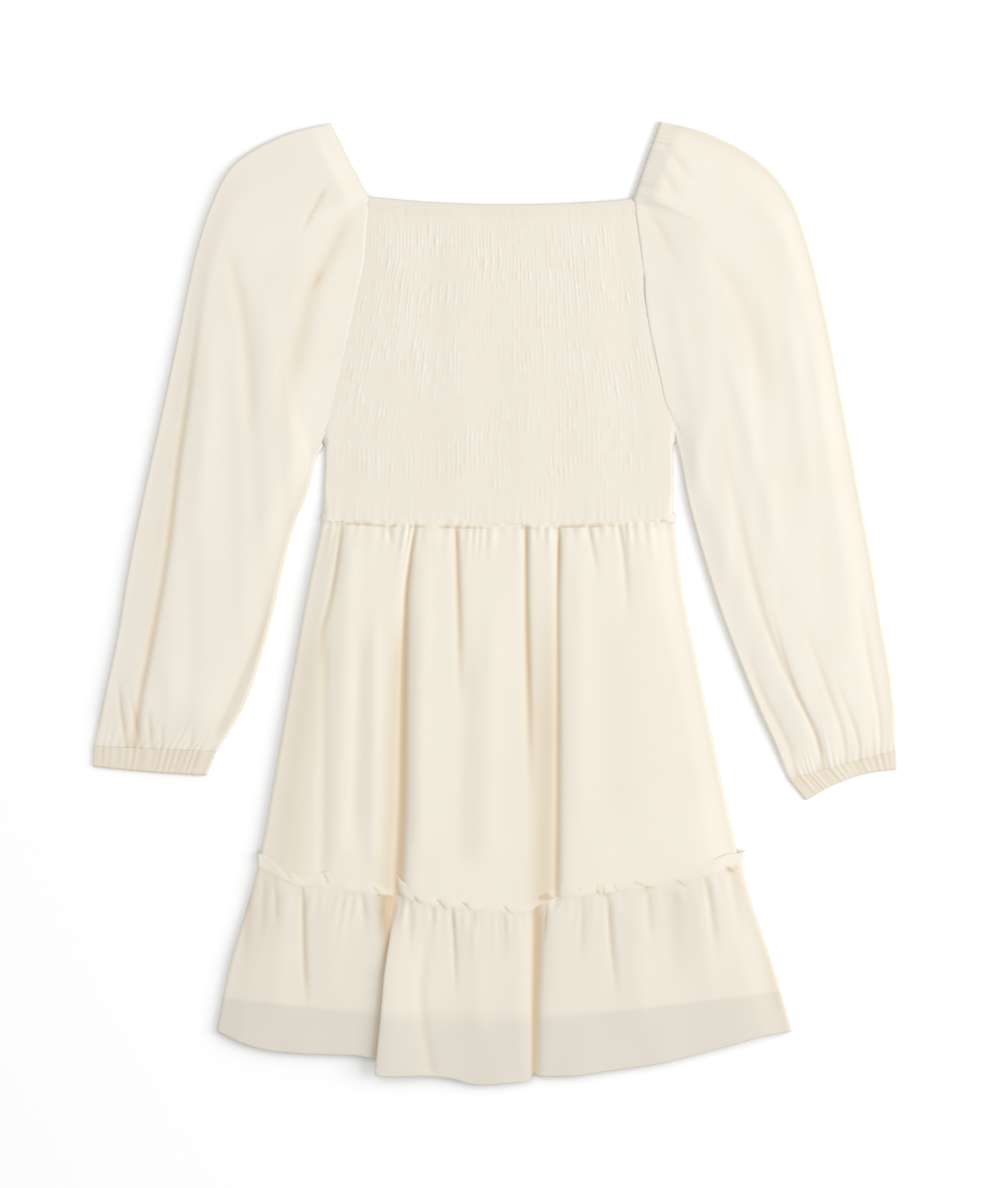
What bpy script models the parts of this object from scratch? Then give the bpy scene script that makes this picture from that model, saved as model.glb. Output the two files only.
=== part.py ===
"""A girl's long sleeve dress of cream chiffon, laid flat on its back.

The smocked bodice has a square neckline, full sleeves gathered into elastic cuffs, a gathered
skirt with a ruffled heading at the waist, and a sheer hem tier with its own heading. X runs
across the dress, Y from hem to neck, Z up from the surface it lies on. Sizes are millimetres.
"""

from collections import namedtuple

import bmesh
import bpy
import numpy as np

# Driving dimensions
MM = 0.001
MIDDLE = (0.0, 0.3, 0.0)
WALL = 1.2
GAP = 0.3
NECK_Y = 291.2
NECK_DIP = 4.3
WAIST_Y = 56.5
CASING = 10.0
SMOCKING_ROWS = 24
SMOCKING_TOP_Y = 281.2
SMOCKING_FOOT_Y = 83.2
SMOCKING_COLUMNS = 38
SMOCKING_RISE = 1.3
CASING_RISE = 0.5
SIDE_ROUND = 8.0
SKIRT_CROWN = 3.6
TIER_CROWN = 4.0
LINING_INSET = 9.0
LAP_REACH = 4.6
LAP_SPREAD = 3.2
LAP_RISE = 5.0
LAP_LIFT = 0.8
WAIST_WAVES = 34
TIER_WAVES = 44
WAIST_HEADING = 14.0
TIER_HEADING = 15.0
SLEEVE_PUFF = 3.6
CUFF_WAVES = 10
CUFF_WAVE_RISE = 1.3
FRONT_COLUMNS = 24
BACK_COLUMNS = 6
SLEEVE_ROWS = 14

# Heights of the stacked layers: the middle of each wall above the surface
BACK_MID = WALL / 2
LINING_BACK_MID = BACK_MID + WALL + GAP
LINING_FRONT_MID = LINING_BACK_MID + WALL + GAP
FRONT_MID = LINING_FRONT_MID + WALL + GAP
EDGE_MID = BACK_MID + WALL + GAP
TUBE_TOP_MID = BACK_MID + WALL + 2 * GAP

# The bodice: where its sides lie, down from the neckline to the waist
BodiceSection = namedtuple("BodiceSection", "y left right")
BODICE_SECTIONS = [
    BodiceSection(291.2, -90.0, 98.6),
    BodiceSection(246.6, -93.2, 105.1),
    BodiceSection(196.2, -104.4, 113.0),
    BodiceSection(145.8, -115.2, 124.6),
    BodiceSection(117.0, -122.2, 127.8),
    BodiceSection(95.4, -122.6, 128.2),
    BodiceSection(56.5, -124.6, 128.2),
]

# The skirt and the tier: where the deep folds cross each section. The grain gives the same
# lines as a share of the cloth's width.
PanelSection = namedtuple("PanelSection", "down left groove channel_left channel_right right")
GRAIN = PanelSection(None, 0.0, 0.27, 0.575, 0.675, 1.0)
SKIRT_SECTIONS = [
    PanelSection(0.0, -124.6, -57.6, 22.3, 46.8, 128.2),
    PanelSection(0.2, -135.2, -64.8, 21.6, 46.1, 134.8),
    PanelSection(0.5, -148.8, -67.0, 20.9, 45.4, 149.8),
    PanelSection(0.8, -161.8, -68.4, 20.2, 44.6, 165.2),
    PanelSection(1.0, -170.6, -72.0, 19.4, 43.2, 176.2),
]
TIER_SECTIONS = [
    PanelSection(0.0, -170.6, -72.0, 19.4, 43.2, 176.2),
    PanelSection(0.2, -177.2, -75.0, 21.0, 39.6, 183.2),
    PanelSection(0.6, -191.5, -79.2, 22.8, 36.4, 199.4),
    PanelSection(1.0, -200.9, -84.2, 23.9, 32.4, 213.8),
]

# Height of the tier seam and of the hem, across the cloth
EdgePoint = namedtuple("EdgePoint", "across y")
TIER_SEAM = [
    EdgePoint(0.0, -189.7),
    EdgePoint(0.084, -202.7),
    EdgePoint(0.172, -205.6),
    EdgePoint(0.26, -208.8),
    EdgePoint(0.287, -210.6),
    EdgePoint(0.426, -216.4),
    EdgePoint(0.57, -220.0),
    EdgePoint(0.625, -216.4),
    EdgePoint(0.677, -210.6),
    EdgePoint(0.751, -207.0),
    EdgePoint(0.835, -203.4),
    EdgePoint(0.92, -196.9),
    EdgePoint(1.0, -186.8),
]
FRONT_HEM = [
    EdgePoint(0.0, -308.5),
    EdgePoint(0.045, -317.0),
    EdgePoint(0.1, -322.5),
    EdgePoint(0.255, -327.2),
    EdgePoint(0.285, -339.5),
    EdgePoint(0.4, -341.6),
    EdgePoint(0.48, -346.4),
    EdgePoint(0.565, -346.0),
    EdgePoint(0.625, -339.0),
    EdgePoint(0.69, -341.5),
    EdgePoint(0.756, -337.2),
    EdgePoint(0.83, -331.2),
    EdgePoint(0.89, -322.5),
    EdgePoint(0.95, -314.0),
    EdgePoint(1.0, -307.8),
]
BACK_HEM = [
    EdgePoint(0.0, -307.8),
    EdgePoint(0.25, -324.0),
    EdgePoint(0.5, -333.0),
    EdgePoint(0.75, -328.0),
    EdgePoint(1.0, -307.8),
]

# Troughs that the folds press into the crown: their grain line at the top and the foot of the
# panel, where they start and end down the panel, half their width, and the share of the crown
# that they take away
Trough = namedtuple("Trough", "top foot start end half_width share")
SKIRT_TROUGHS = [
    Trough(0.27, 0.27, 0.0, 1.2, 5.0, 1.0),
    Trough(0.575, 0.575, 0.0, 0.6, 4.0, 0.8),
    Trough(0.625, 0.625, 0.0, 1.2, 13.0, 0.6),
    Trough(0.675, 0.675, 0.0, 1.2, 4.5, 0.95),
    Trough(0.06, 0.075, 0.0, 0.4, 4.0, 0.75),
    Trough(0.115, 0.12, 0.0, 0.14, 3.0, 0.45),
    Trough(0.183, 0.19, 0.0, 0.22, 3.5, 0.6),
    Trough(0.325, 0.33, 0.0, 0.12, 3.0, 0.4),
    Trough(0.385, 0.41, 0.0, 0.62, 4.5, 0.7),
    Trough(0.47, 0.47, 0.0, 0.15, 3.5, 0.4),
    Trough(0.52, 0.51, 0.0, 0.1, 3.0, 0.4),
    Trough(0.761, 0.76, 0.0, 0.2, 3.5, 0.55),
    Trough(0.853, 0.87, 0.0, 0.36, 4.0, 0.65),
    Trough(0.93, 0.94, 0.0, 0.14, 3.0, 0.45),
]
TIER_TROUGHS = [
    Trough(0.25, 0.235, 0.0, 1.3, 6.0, 0.9),
    Trough(0.625, 0.625, 0.0, 1.3, 5.5, 1.0),
    Trough(0.03, 0.045, 0.0, 0.6, 5.0, 0.55),
    Trough(0.09, 0.1, 0.0, 0.8, 4.5, 0.7),
    Trough(0.165, 0.16, 0.0, 0.3, 4.0, 0.45),
    Trough(0.32, 0.31, 0.0, 0.25, 3.5, 0.45),
    Trough(0.36, 0.37, 0.1, 1.2, 6.0, 0.55),
    Trough(0.405, 0.425, 0.0, 0.75, 4.0, 0.7),
    Trough(0.48, 0.49, 0.0, 0.35, 4.0, 0.45),
    Trough(0.53, 0.545, 0.0, 0.3, 3.5, 0.5),
    Trough(0.735, 0.725, 0.0, 0.7, 4.5, 0.65),
    Trough(0.785, 0.79, 0.0, 0.8, 4.5, 0.7),
    Trough(0.835, 0.84, 0.0, 0.35, 4.0, 0.45),
    Trough(0.885, 0.885, 0.1, 1.2, 8.0, 0.4),
    Trough(0.94, 0.925, 0.0, 0.7, 4.5, 0.6),
]

# The sleeves: the outer and the inner end of each section, from the armhole to the cuff
SleeveSection = namedtuple("SleeveSection", "outer_x outer_y inner_x inner_y")
LEFT_SLEEVE = [
    SleeveSection(-118.8, 346.0, -125.3, 113.4),
    SleeveSection(-142.5, 341.0, -126.0, 110.0),
    SleeveSection(-168.0, 330.5, -128.5, 106.5),
    SleeveSection(-190.5, 314.5, -130.8, 101.5),
    SleeveSection(-204.5, 288.0, -132.8, 90.0),
    SleeveSection(-215.5, 254.0, -137.2, 75.5),
    SleeveSection(-228.2, 196.0, -144.2, 58.5),
    SleeveSection(-240.6, 138.6, -150.0, 38.0),
    SleeveSection(-253.6, 81.0, -156.2, 10.5),
    SleeveSection(-264.6, 28.0, -162.4, -16.5),
    SleeveSection(-273.4, -25.0, -170.2, -44.0),
    SleeveSection(-281.5, -63.0, -178.5, -68.5),
    SleeveSection(-286.5, -88.0, -190.0, -90.0),
    SleeveSection(-289.4, -104.0, -201.5, -108.0),
]
RIGHT_SLEEVE = [
    SleeveSection(119.0, 347.2, 131.4, 117.0),
    SleeveSection(143.0, 342.0, 132.0, 113.5),
    SleeveSection(168.0, 332.0, 133.2, 106.5),
    SleeveSection(192.6, 316.5, 135.0, 96.5),
    SleeveSection(212.4, 293.0, 138.5, 75.5),
    SleeveSection(226.8, 254.0, 144.7, 50.5),
    SleeveSection(239.0, 204.0, 152.2, 24.5),
    SleeveSection(251.0, 141.5, 161.0, -4.0),
    SleeveSection(262.0, 83.0, 171.0, -31.5),
    SleeveSection(271.0, 35.0, 181.2, -57.5),
    SleeveSection(278.8, -13.0, 190.8, -81.0),
    SleeveSection(285.4, -50.0, 199.4, -99.5),
    SleeveSection(288.8, -85.0, 205.6, -114.0),
    SleeveSection(289.2, -107.5, 212.0, -127.5),
]
CuffEnd = namedtuple("CuffEnd", "outer_x outer_y inner_x inner_y")
LEFT_CUFF_FOOT = CuffEnd(-290.0, -118.0, -208.4, -124.4)
RIGHT_CUFF_FOOT = CuffEnd(290.0, -120.3, 224.2, -142.6)
LEFT_CUFF_BOW = -0.8
RIGHT_CUFF_BOW = 5.4

# The sleeve's edge along the neckline and the armhole, from the shoulder to the underarm
ArmholePoint = namedtuple("ArmholePoint", "x y")
LEFT_ARMHOLE = [
    ArmholePoint(-118.8, 346.0),
    ArmholePoint(-105.0, 318.0),
    ArmholePoint(-90.6, 291.2),
    ArmholePoint(-93.8, 246.6),
    ArmholePoint(-105.0, 196.2),
    ArmholePoint(-115.8, 145.8),
    ArmholePoint(-125.3, 113.4),
]
RIGHT_ARMHOLE = [
    ArmholePoint(119.0, 347.2),
    ArmholePoint(109.0, 320.0),
    ArmholePoint(99.2, 291.2),
    ArmholePoint(105.7, 246.6),
    ArmholePoint(113.6, 196.2),
    ArmholePoint(125.2, 145.8),
    ArmholePoint(131.4, 117.0),
]

# Creases of the sleeves: from one place to another, each given across the sleeve from its
# outer edge and down it from the armhole, with half their width and their depth
Crease = namedtuple("Crease", "across start_down across_end end_down half_width depth")
LEFT_CREASES = [
    Crease(0.13, 0.3, 0.35, 1.0, 5.0, 2.4),
    Crease(0.27, 0.16, 0.55, 0.45, 5.0, 2.0),
    Crease(0.22, 0.0, 0.3, 0.14, 5.0, 1.6),
    Crease(0.52, 0.0, 0.6, 0.2, 6.0, 1.4),
    Crease(0.74, 0.2, 0.8, 0.75, 8.0, 1.8),
    Crease(0.5, 0.8, 0.52, 1.0, 4.0, 1.0),
]
RIGHT_CREASES = [
    Crease(0.25, 0.0, 0.4, 0.3, 5.0, 1.6),
    Crease(0.35, 0.3, 0.7, 0.95, 6.0, 1.8),
    Crease(0.3, 0.5, 0.45, 0.96, 5.0, 1.8),
    Crease(0.12, 0.45, 0.2, 0.9, 6.0, 1.2),
    Crease(0.72, 0.1, 0.62, 0.6, 7.0, 1.5),
    Crease(0.7, 0.7, 0.75, 1.0, 4.0, 2.0),
]

# Finishes: colour as seen in daylight, and roughness
Finish = namedtuple("Finish", "name colour roughness")
SMOCKED_CLOTH = Finish("smocked_chiffon", (243, 235, 222), 0.85)
SKIRT_CLOTH = Finish("cream_chiffon", (241, 234, 218), 0.82)
SLEEVE_CLOTH = Finish("sleeve_chiffon", (240, 233, 220), 0.82)
TIER_CLOTH = Finish("sheer_chiffon", (235, 229, 216), 0.8)
LINING_CLOTH = Finish("lining_cloth", (238, 230, 212), 0.7)


def clear_scene():
    """Removes every object of the opened scene."""
    for item in list(bpy.data.objects):
        bpy.data.objects.remove(item)


def smooth_step(value):
    """Rises from 0 to 1 with level ends: 3t^2 - 2t^3 of the value held between 0 and 1."""
    held = np.clip(value, 0.0, 1.0)
    return held * held * (3.0 - 2.0 * held)


def mix(first, second, share):
    """The value a share of the way from the first to the second."""
    return first + (second - first) * share


def read_column(table, name):
    """One named column of a table."""
    return np.array([getattr(row, name) for row in table], dtype=float)


def smooth_column(table, name, share):
    """A column read at shares of the table's length, on a Catmull-Rom curve through its rows."""
    values = read_column(table, name)
    place = np.clip(share, 0.0, 1.0) * (len(values) - 1)
    row = np.minimum(place.astype(int), len(values) - 2)
    part = place - row
    before = values[np.maximum(row - 1, 0)]
    start = values[row]
    stop = values[row + 1]
    after = values[np.minimum(row + 2, len(values) - 1)]
    linear = 0.5 * (stop - before)
    square = before - 2.5 * start + 2.0 * stop - 0.5 * after
    cube = 1.5 * (start - stop) + 0.5 * (after - before)
    return start + part * (linear + part * (square + part * cube))


def across_table(table, across):
    """The height of an edge at each share of the cloth's width."""
    return np.interp(across, read_column(table, "across"), read_column(table, "y"))


def give_finish(item, finish):
    """Puts the cloth's own material on a piece."""
    material = bpy.data.materials.new(f"{item.name}_{finish.name}")
    material.use_nodes = True
    shader = material.node_tree.nodes["Principled BSDF"]
    linear = [((value / 255 + 0.055) / 1.055) ** 2.4 for value in finish.colour]
    shader.inputs["Base Color"].default_value = (*linear, 1.0)
    shader.inputs["Roughness"].default_value = finish.roughness
    shader.inputs["Metallic"].default_value = 0.0
    item.data.materials.append(material)


def add_mesh(name, points, faces, finish):
    """Adds a piece from points in millimetres, its faces turned outwards and shaded smooth. The
    middle of the dress's outline is the origin."""
    mesh = bpy.data.meshes.new(name)
    mesh.from_pydata(((np.asarray(points) - MIDDLE) * MM).tolist(), [], faces)
    form = bmesh.new()
    form.from_mesh(mesh)
    bmesh.ops.recalc_face_normals(form, faces=form.faces)
    form.to_mesh(mesh)
    form.free()
    mesh.shade_smooth()
    mesh.set_sharp_from_angle(angle=np.radians(50))
    item = bpy.data.objects.new(name, mesh)
    bpy.context.scene.collection.objects.link(item)
    give_finish(item, finish)
    return item


def add_cloth(name, grid, finish, closed=False):
    """Adds a grid of mid-surface points as a wall. Each row of the grid is one section, and a
    closed one is a tube."""
    rows, columns, _ = grid.shape
    stop = columns if closed else columns - 1
    faces = []
    for row in range(rows - 1):
        for column in range(stop):
            following = (column + 1) % columns
            here = row * columns
            below = here + columns
            faces.append((here + column, below + column, below + following, here + following))
    item = add_mesh(name, grid.reshape(-1, 3), faces, finish)
    wall = item.modifiers.new("Wall", "SOLIDIFY")
    wall.thickness = WALL * MM
    wall.offset = 0.0
    return item


def rim_faces(outer, inner, steps):
    """Joins the edge of a fine sheet to the edge of a coarse one. Each coarse edge gets a fan
    of the fine edges above it."""
    faces = []
    for number in range(len(steps) - 1):
        for step in range(steps[number], steps[number + 1]):
            faces.append((inner[number], outer[step], outer[step + 1]))
        faces.append((inner[number], outer[steps[number + 1]], inner[number + 1]))
    return faces


def add_relief_wall(name, outer, inner, kept_rows, kept_columns, finish):
    """Adds a wall whose outer points carry a relief over a plain and coarser inside. The kept
    rows and columns say which outer lines the inside has."""
    rows, columns, _ = outer.shape
    outer_at = np.arange(rows * columns).reshape(rows, columns)
    inner_at = np.arange(len(kept_rows) * len(kept_columns)) + rows * columns
    inner_at = inner_at.reshape(len(kept_rows), len(kept_columns))
    faces = []
    for sheet in (outer_at, inner_at):
        corners = (sheet[:-1, :-1], sheet[1:, :-1], sheet[1:, 1:], sheet[:-1, 1:])
        faces += np.stack([corner.ravel() for corner in corners], axis=1).tolist()
    for side in (0, -1):
        faces += rim_faces(outer_at[side], inner_at[side], kept_columns)
        faces += rim_faces(outer_at[:, side], inner_at[:, side], kept_rows)
    points = np.concatenate([outer.reshape(-1, 3), inner.reshape(-1, 3)])
    return add_mesh(name, points, [[int(at) for at in face] for face in faces], finish)


def bodice_plan(across, y_line):
    """Where bodice points lie: the sides by the section table, and a neckline that dips in a
    shallow arc. The y line is that of the sides."""
    section_y = read_column(BODICE_SECTIONS, "y")[::-1]
    left = np.interp(y_line, section_y, read_column(BODICE_SECTIONS, "left")[::-1])
    right = np.interp(y_line, section_y, read_column(BODICE_SECTIONS, "right")[::-1])
    arc = 1.0 - (2.0 * across - 1.0) ** 2
    near_neck = smooth_step((y_line - (NECK_Y - 4 * CASING)) / (4 * CASING))
    return mix(left, right, across), y_line - NECK_DIP * arc * near_neck, right - left


def bodice_inside(across, y_line, width):
    """Height of the bodice front's plain inside: it lies on the back, turns down at its sides
    and climbs to the skirt's height at the waist."""
    from_side = np.minimum(across, 1.0 - across) * width
    climb = smooth_step((SMOCKING_FOOT_Y - y_line) / (SMOCKING_FOOT_Y - WAIST_Y))
    middle = mix(EDGE_MID + GAP, FRONT_MID, climb) - WALL / 2
    return mix(EDGE_MID - WALL / 2, middle, smooth_step(from_side / SIDE_ROUND))


def bodice_lines():
    """The y lines of the bodice front: the casing, two for each row of smocking, the band."""
    smocked = np.linspace(SMOCKING_TOP_Y, SMOCKING_FOOT_Y, 2 * SMOCKING_ROWS + 1)
    band = np.linspace(SMOCKING_FOOT_Y, WAIST_Y, 4)[1:]
    return np.concatenate([[NECK_Y, SMOCKING_TOP_Y + 1.0], smocked, band])


def smocking_relief(line_count, column_count):
    """Rise of the gathered cloth: none on a line of stitches, and between two lines a row of
    puffs, each beside the gap between two puffs of the next row."""
    line = np.arange(line_count)[:, None] - 2
    column = np.arange(column_count)[None, :]
    between = (line % 2 == 1) & (line > 0) & (line < 2 * SMOCKING_ROWS)
    full = (column + line // 2) % 2 == 0
    puff = np.where(full, 1.0, 0.35) * between
    side = (column > 0) & (column < column_count - 1)
    return SMOCKING_RISE * puff * side


def add_bodice_front():
    """The smocked front with its plain casing."""
    lines = bodice_lines()[:, None]
    across = np.linspace(0.0, 1.0, SMOCKING_COLUMNS + 1)[None, :]
    x, y, width = bodice_plan(across, lines)
    inside = bodice_inside(across, lines, width)
    casing = CASING_RISE * (lines > SMOCKING_TOP_Y)
    rise = WALL + casing + smocking_relief(len(lines), across.size)
    outer = np.stack(np.broadcast_arrays(x, y, inside + rise), axis=-1)
    kept_rows = [0, 1, 2, 10, 18, 26, 34, 42, 50, 51, 52, 53]
    kept_columns = [0, 1, 2, 8, 15, 23, 30, 36, 37, 38]
    plain = np.stack(np.broadcast_arrays(x, y, inside), axis=-1)
    inner = plain[np.ix_(kept_rows, kept_columns)]
    return add_relief_wall("bodice_front", outer, inner, kept_rows, kept_columns, SMOCKED_CLOTH)


def add_bodice_back():
    """The back, flat on the surface."""
    lines = np.append(read_column(BODICE_SECTIONS, "y"), 270.0)
    lines = np.sort(lines)[::-1][:, None]
    across = np.linspace(0.0, 1.0, 7)[None, :]
    x, y, _ = bodice_plan(across, lines)
    grid = np.stack(np.broadcast_arrays(x, y, BACK_MID), axis=-1)
    return add_cloth("bodice_back", grid, SMOCKED_CLOTH)


def panel_columns():
    """Shares of the cloth's width at which the skirt and the tier are sampled: even ones, and
    close ones where the cloth laps over itself."""
    even = np.linspace(0.0, 1.0, 37)
    lap = GRAIN.groove + np.linspace(-0.03, 0.03, 13)
    away = even[np.abs(even - GRAIN.groove) > 0.036]
    edges = np.array([0.007, 0.014, 0.986, 0.993])
    return np.unique(np.concatenate([away, lap, edges]))


def panel_x(sections, across, down):
    """Where grain lines lie at each place down a panel: even between the deep folds, whose
    lines the section table gives."""
    names = ("left", "groove", "channel_left", "channel_right", "right")
    levels = read_column(sections, "down")
    ends = [np.interp(down, levels, read_column(sections, name)) for name in names]
    grain = [getattr(GRAIN, name) for name in names]
    shares = np.broadcast_to(across, np.broadcast_shapes(across.shape, down.shape))
    x = np.empty(shares.shape)
    for row in range(shares.shape[0]):
        x[row] = np.interp(shares[row], grain, [float(end[row, 0]) for end in ends])
    return x


def crown_left(troughs, sections, x, down):
    """Share of the crown left standing by the troughs, each a bell across its line that fades
    out towards its ends."""
    left = np.ones(x.shape)
    for trough in troughs:
        line = panel_x(sections, mix(trough.top, trough.foot, down), down)
        bell = np.exp(-(((x - line) / trough.half_width) ** 2))
        reach = smooth_step((trough.end - down) / (0.45 * (trough.end - trough.start)))
        begin = smooth_step((down - trough.start) / 0.1 + (trough.start == 0.0))
        left = left * (1.0 - trough.share * bell * reach * begin)
    return left


def panel_height(across, width, crown):
    """Height of a front panel: its sides turn down to the back, and between them it lies on the
    lining under its crown."""
    from_side = np.minimum(across, 1.0 - across) * width
    return mix(EDGE_MID, FRONT_MID, smooth_step(from_side / SIDE_ROUND)) + crown * smooth_step(
        from_side / (2.5 * SIDE_ROUND)
    )


def skirt_front_grid():
    """Mid-surface of the skirt front."""
    across = panel_columns()[None, :]
    heading = 1.0 - TIER_HEADING / 262.0
    down = np.array([0.0, 0.06, 0.14, 0.26, 0.4, 0.56, 0.74, heading, 1.0])[:, None]
    x = panel_x(SKIRT_SECTIONS, across, down)
    width = x[:, -1:] - x[:, :1]
    y = mix(WAIST_Y - GAP, across_table(TIER_SEAM, across), down)
    gathered = smooth_step(down / 0.08)
    crown = SKIRT_CROWN * gathered * crown_left(SKIRT_TROUGHS, SKIRT_SECTIONS, x, down)
    z = panel_height(across, width, crown)
    return np.stack(np.broadcast_arrays(x, y, z), axis=-1)


def tier_front_grid(skirt):
    """Mid-surface of the front tier. It starts at the skirt's foot, and below it the middle of
    the tier laps to the left over its neighbour."""
    across = panel_columns()[None, :]
    down = np.array([0.0, 0.12, 0.28, 0.5, 0.75, 1.0])[:, None]
    x = panel_x(TIER_SECTIONS, across, down)
    width = x[:, -1:] - x[:, :1]
    y = mix(across_table(TIER_SEAM, across), across_table(FRONT_HEM, across), down) - GAP
    crown = TIER_CROWN * crown_left(TIER_TROUGHS, TIER_SECTIONS, x, down)
    lapping = smooth_step(down / 0.5)
    past = (x - panel_x(TIER_SECTIONS, np.full((1, 1), GRAIN.groove), down)) / LAP_SPREAD
    x = x - LAP_REACH * lapping * past * np.exp(0.5 - past**2 / 2)
    flank = 0.5 + 0.5 * np.tanh(1.3 * past)
    fade = np.exp(-((np.maximum(past, 0.0) / 9.0) ** 2))
    lift = LAP_RISE * flank * fade + LAP_LIFT * np.exp(-(past**2) / 6.0)
    z = panel_height(across, width, crown) + lapping * lift
    z = mix(skirt[-1, :, 2], z, smooth_step(down / 0.12))
    return np.stack(np.broadcast_arrays(x, y, z), axis=-1)


def heading_grid(rows, wave_count, heights, spread):
    """Mid-surface of a ruffled heading. It is made from the rows of the panel that it lies on,
    moved out: at least a wall clear of the highest cloth beside it, and with waves that grow
    from the stitches to the free edge."""
    count = 4 * wave_count + 1
    across = np.linspace(0.0, 1.0, count)
    number = np.arange(count)
    swell = 0.7 + 0.3 * np.sin(0.9 * number) * np.cos(0.37 * number)
    sheet = []
    for row, height in zip(rows, heights):
        share = (row[:, 0] - row[0, 0]) / (row[-1, 0] - row[0, 0])
        share = np.maximum.accumulate(share)
        x = mix(row[0, 0] - spread * height, row[-1, 0] + spread * height, across)
        y = np.interp(across, share, row[:, 1]) + 0.35 * height * np.sin(1.7 * number)
        z = np.interp(across, share, row[:, 2])
        for shift in np.linspace(-0.025, 0.025, 9):
            z = np.maximum(z, np.interp(across + shift, share, row[:, 2]))
        drift = 0.3 * np.sin(11.0 * np.pi * across) + 0.15 * np.sin(29.0 * np.pi * across)
        wave = 0.5 - 0.5 * np.cos(2 * np.pi * (across * wave_count + drift))
        sheet.append(np.stack([x, y, z + WALL + GAP + height * wave * swell], axis=-1))
    return np.array(sheet)


def add_waist_heading():
    """The ruffled edge over the waist seam, on the bodice's plain band."""
    lines = WAIST_Y + 1.0 + WAIST_HEADING * np.array([0.0, 1.0])
    across = np.linspace(0.0, 1.0, 61)
    rows = []
    for line in lines:
        x, y, width = bodice_plan(across, np.full(across.shape, line))
        top = bodice_inside(across, np.full(across.shape, line), width) + WALL / 2
        rows.append(np.stack([x, y, top], axis=-1))
    grid = heading_grid(rows, WAIST_WAVES, (0.5, 2.2), 0.6)
    return add_cloth("waist_heading", grid, SKIRT_CLOTH)


def add_tier_heading(skirt):
    """The ruffled edge over the tier seam, on the skirt's foot."""
    rows = [mix(skirt[-1], skirt[-2], share) for share in (0.04, 0.98)]
    grid = heading_grid(rows, TIER_WAVES, (0.5, 2.6), 1.2)
    return add_cloth("tier_heading", grid, TIER_CLOTH)


def add_flat_panel(name, sections, top, foot, height, inset, finish):
    """A flat back or lining panel between two edges, given as heights across the cloth."""
    across = np.linspace(0.0, 1.0, 15)[None, :]
    down = read_column(sections, "down")[:, None]
    levels = read_column(sections, "down")
    left = np.interp(down, levels, read_column(sections, "left")) + inset
    right = np.interp(down, levels, read_column(sections, "right")) - inset
    y = mix(top(across), foot(across), down)
    grid = np.stack(np.broadcast_arrays(mix(left, right, across), y, height), axis=-1)
    return add_cloth(name, grid, finish)


def lining_sections():
    """Where the sides of the lining lie: the skirt's and then most of the tier's."""
    rows = [
        PanelSection(0.0, *SKIRT_SECTIONS[0][1:]),
        PanelSection(0.37, *SKIRT_SECTIONS[2][1:]),
        PanelSection(0.72, *SKIRT_SECTIONS[4][1:]),
        PanelSection(1.0, *TIER_SECTIONS[2][1:]),
    ]
    return rows


def flat_y(height):
    """An edge at one height across the cloth."""
    return lambda across: np.full(across.shape, height)


def smooth_seam(across):
    """The tier seam without the steps that the deep folds give the front."""
    return -189.7 - 26.0 * np.sin(np.pi * across) ** 0.8


def add_back_and_lining():
    """The flat panels under the front: skirt back, tier back and both halves of the lining."""
    add_flat_panel(
        "skirt_back", SKIRT_SECTIONS, flat_y(WAIST_Y - GAP), smooth_seam, BACK_MID, 0.0, SKIRT_CLOTH
    )
    add_flat_panel(
        "tier_back",
        TIER_SECTIONS,
        lambda across: smooth_seam(across) - GAP,
        lambda across: across_table(BACK_HEM, across),
        BACK_MID,
        0.0,
        TIER_CLOTH,
    )
    for name, height in (("lining_back", LINING_BACK_MID), ("lining_front", LINING_FRONT_MID)):
        add_flat_panel(
            name,
            lining_sections(),
            flat_y(WAIST_Y - 1.0),
            lambda across: -278.0 - 20.0 * np.sin(np.pi * across),
            height,
            LINING_INSET,
            LINING_CLOTH,
        )


def tube_grid(plan, width, front, top, back, down):
    """Mid-surface of a flattened tube. Its front wall runs from the outer to the inner fold at
    the top heights, its back wall returns flat on the surface, and a half round of the walls'
    distance joins them at each fold. Front and back give the shares across of their points."""
    radius = (TUBE_TOP_MID - BACK_MID) / 2
    inset = (radius + WALL / 2) / width
    turn = np.radians([45.0, 90.0, 135.0])[None, :]
    bend_z = BACK_MID + radius * (1.0 + np.cos(turn)) + 0.0 * width
    front_x, front_y = plan(mix(inset, 1.0 - inset, front), down)
    back_x, back_y = plan(mix(inset, 1.0 - inset, back[:, ::-1]), down)
    parts = [np.stack([front_x, front_y, top], axis=-1)]
    for side, order in ((-1, 1), (0, -1)):
        fold_x = front_x[:, side]
        fold_y = front_y[:, side]
        along = np.hypot(np.gradient(fold_x), np.gradient(fold_y))
        hand = order * np.sign(fold_x[-1])
        out_x = -hand * np.gradient(fold_y) / along
        out_y = hand * np.gradient(fold_x) / along
        bend_x = fold_x[:, None] - radius * out_x[:, None] * np.sin(turn)
        bend_y = fold_y[:, None] - radius * out_y[:, None] * np.sin(turn)
        parts.append(np.stack([bend_x, bend_y, bend_z[:, ::order]], axis=-1))
    flat = np.full(back_x.shape, BACK_MID)
    parts.insert(2, np.stack([back_x, back_y, flat], axis=-1))
    return np.concatenate(parts, axis=1)


def armhole_shares(armhole):
    """Where the armhole's points lie, as shares of its length."""
    steps = np.hypot(np.diff(read_column(armhole, "x")), np.diff(read_column(armhole, "y")))
    length = np.concatenate([[0.0], np.cumsum(steps)])
    return length / length[-1]


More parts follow.
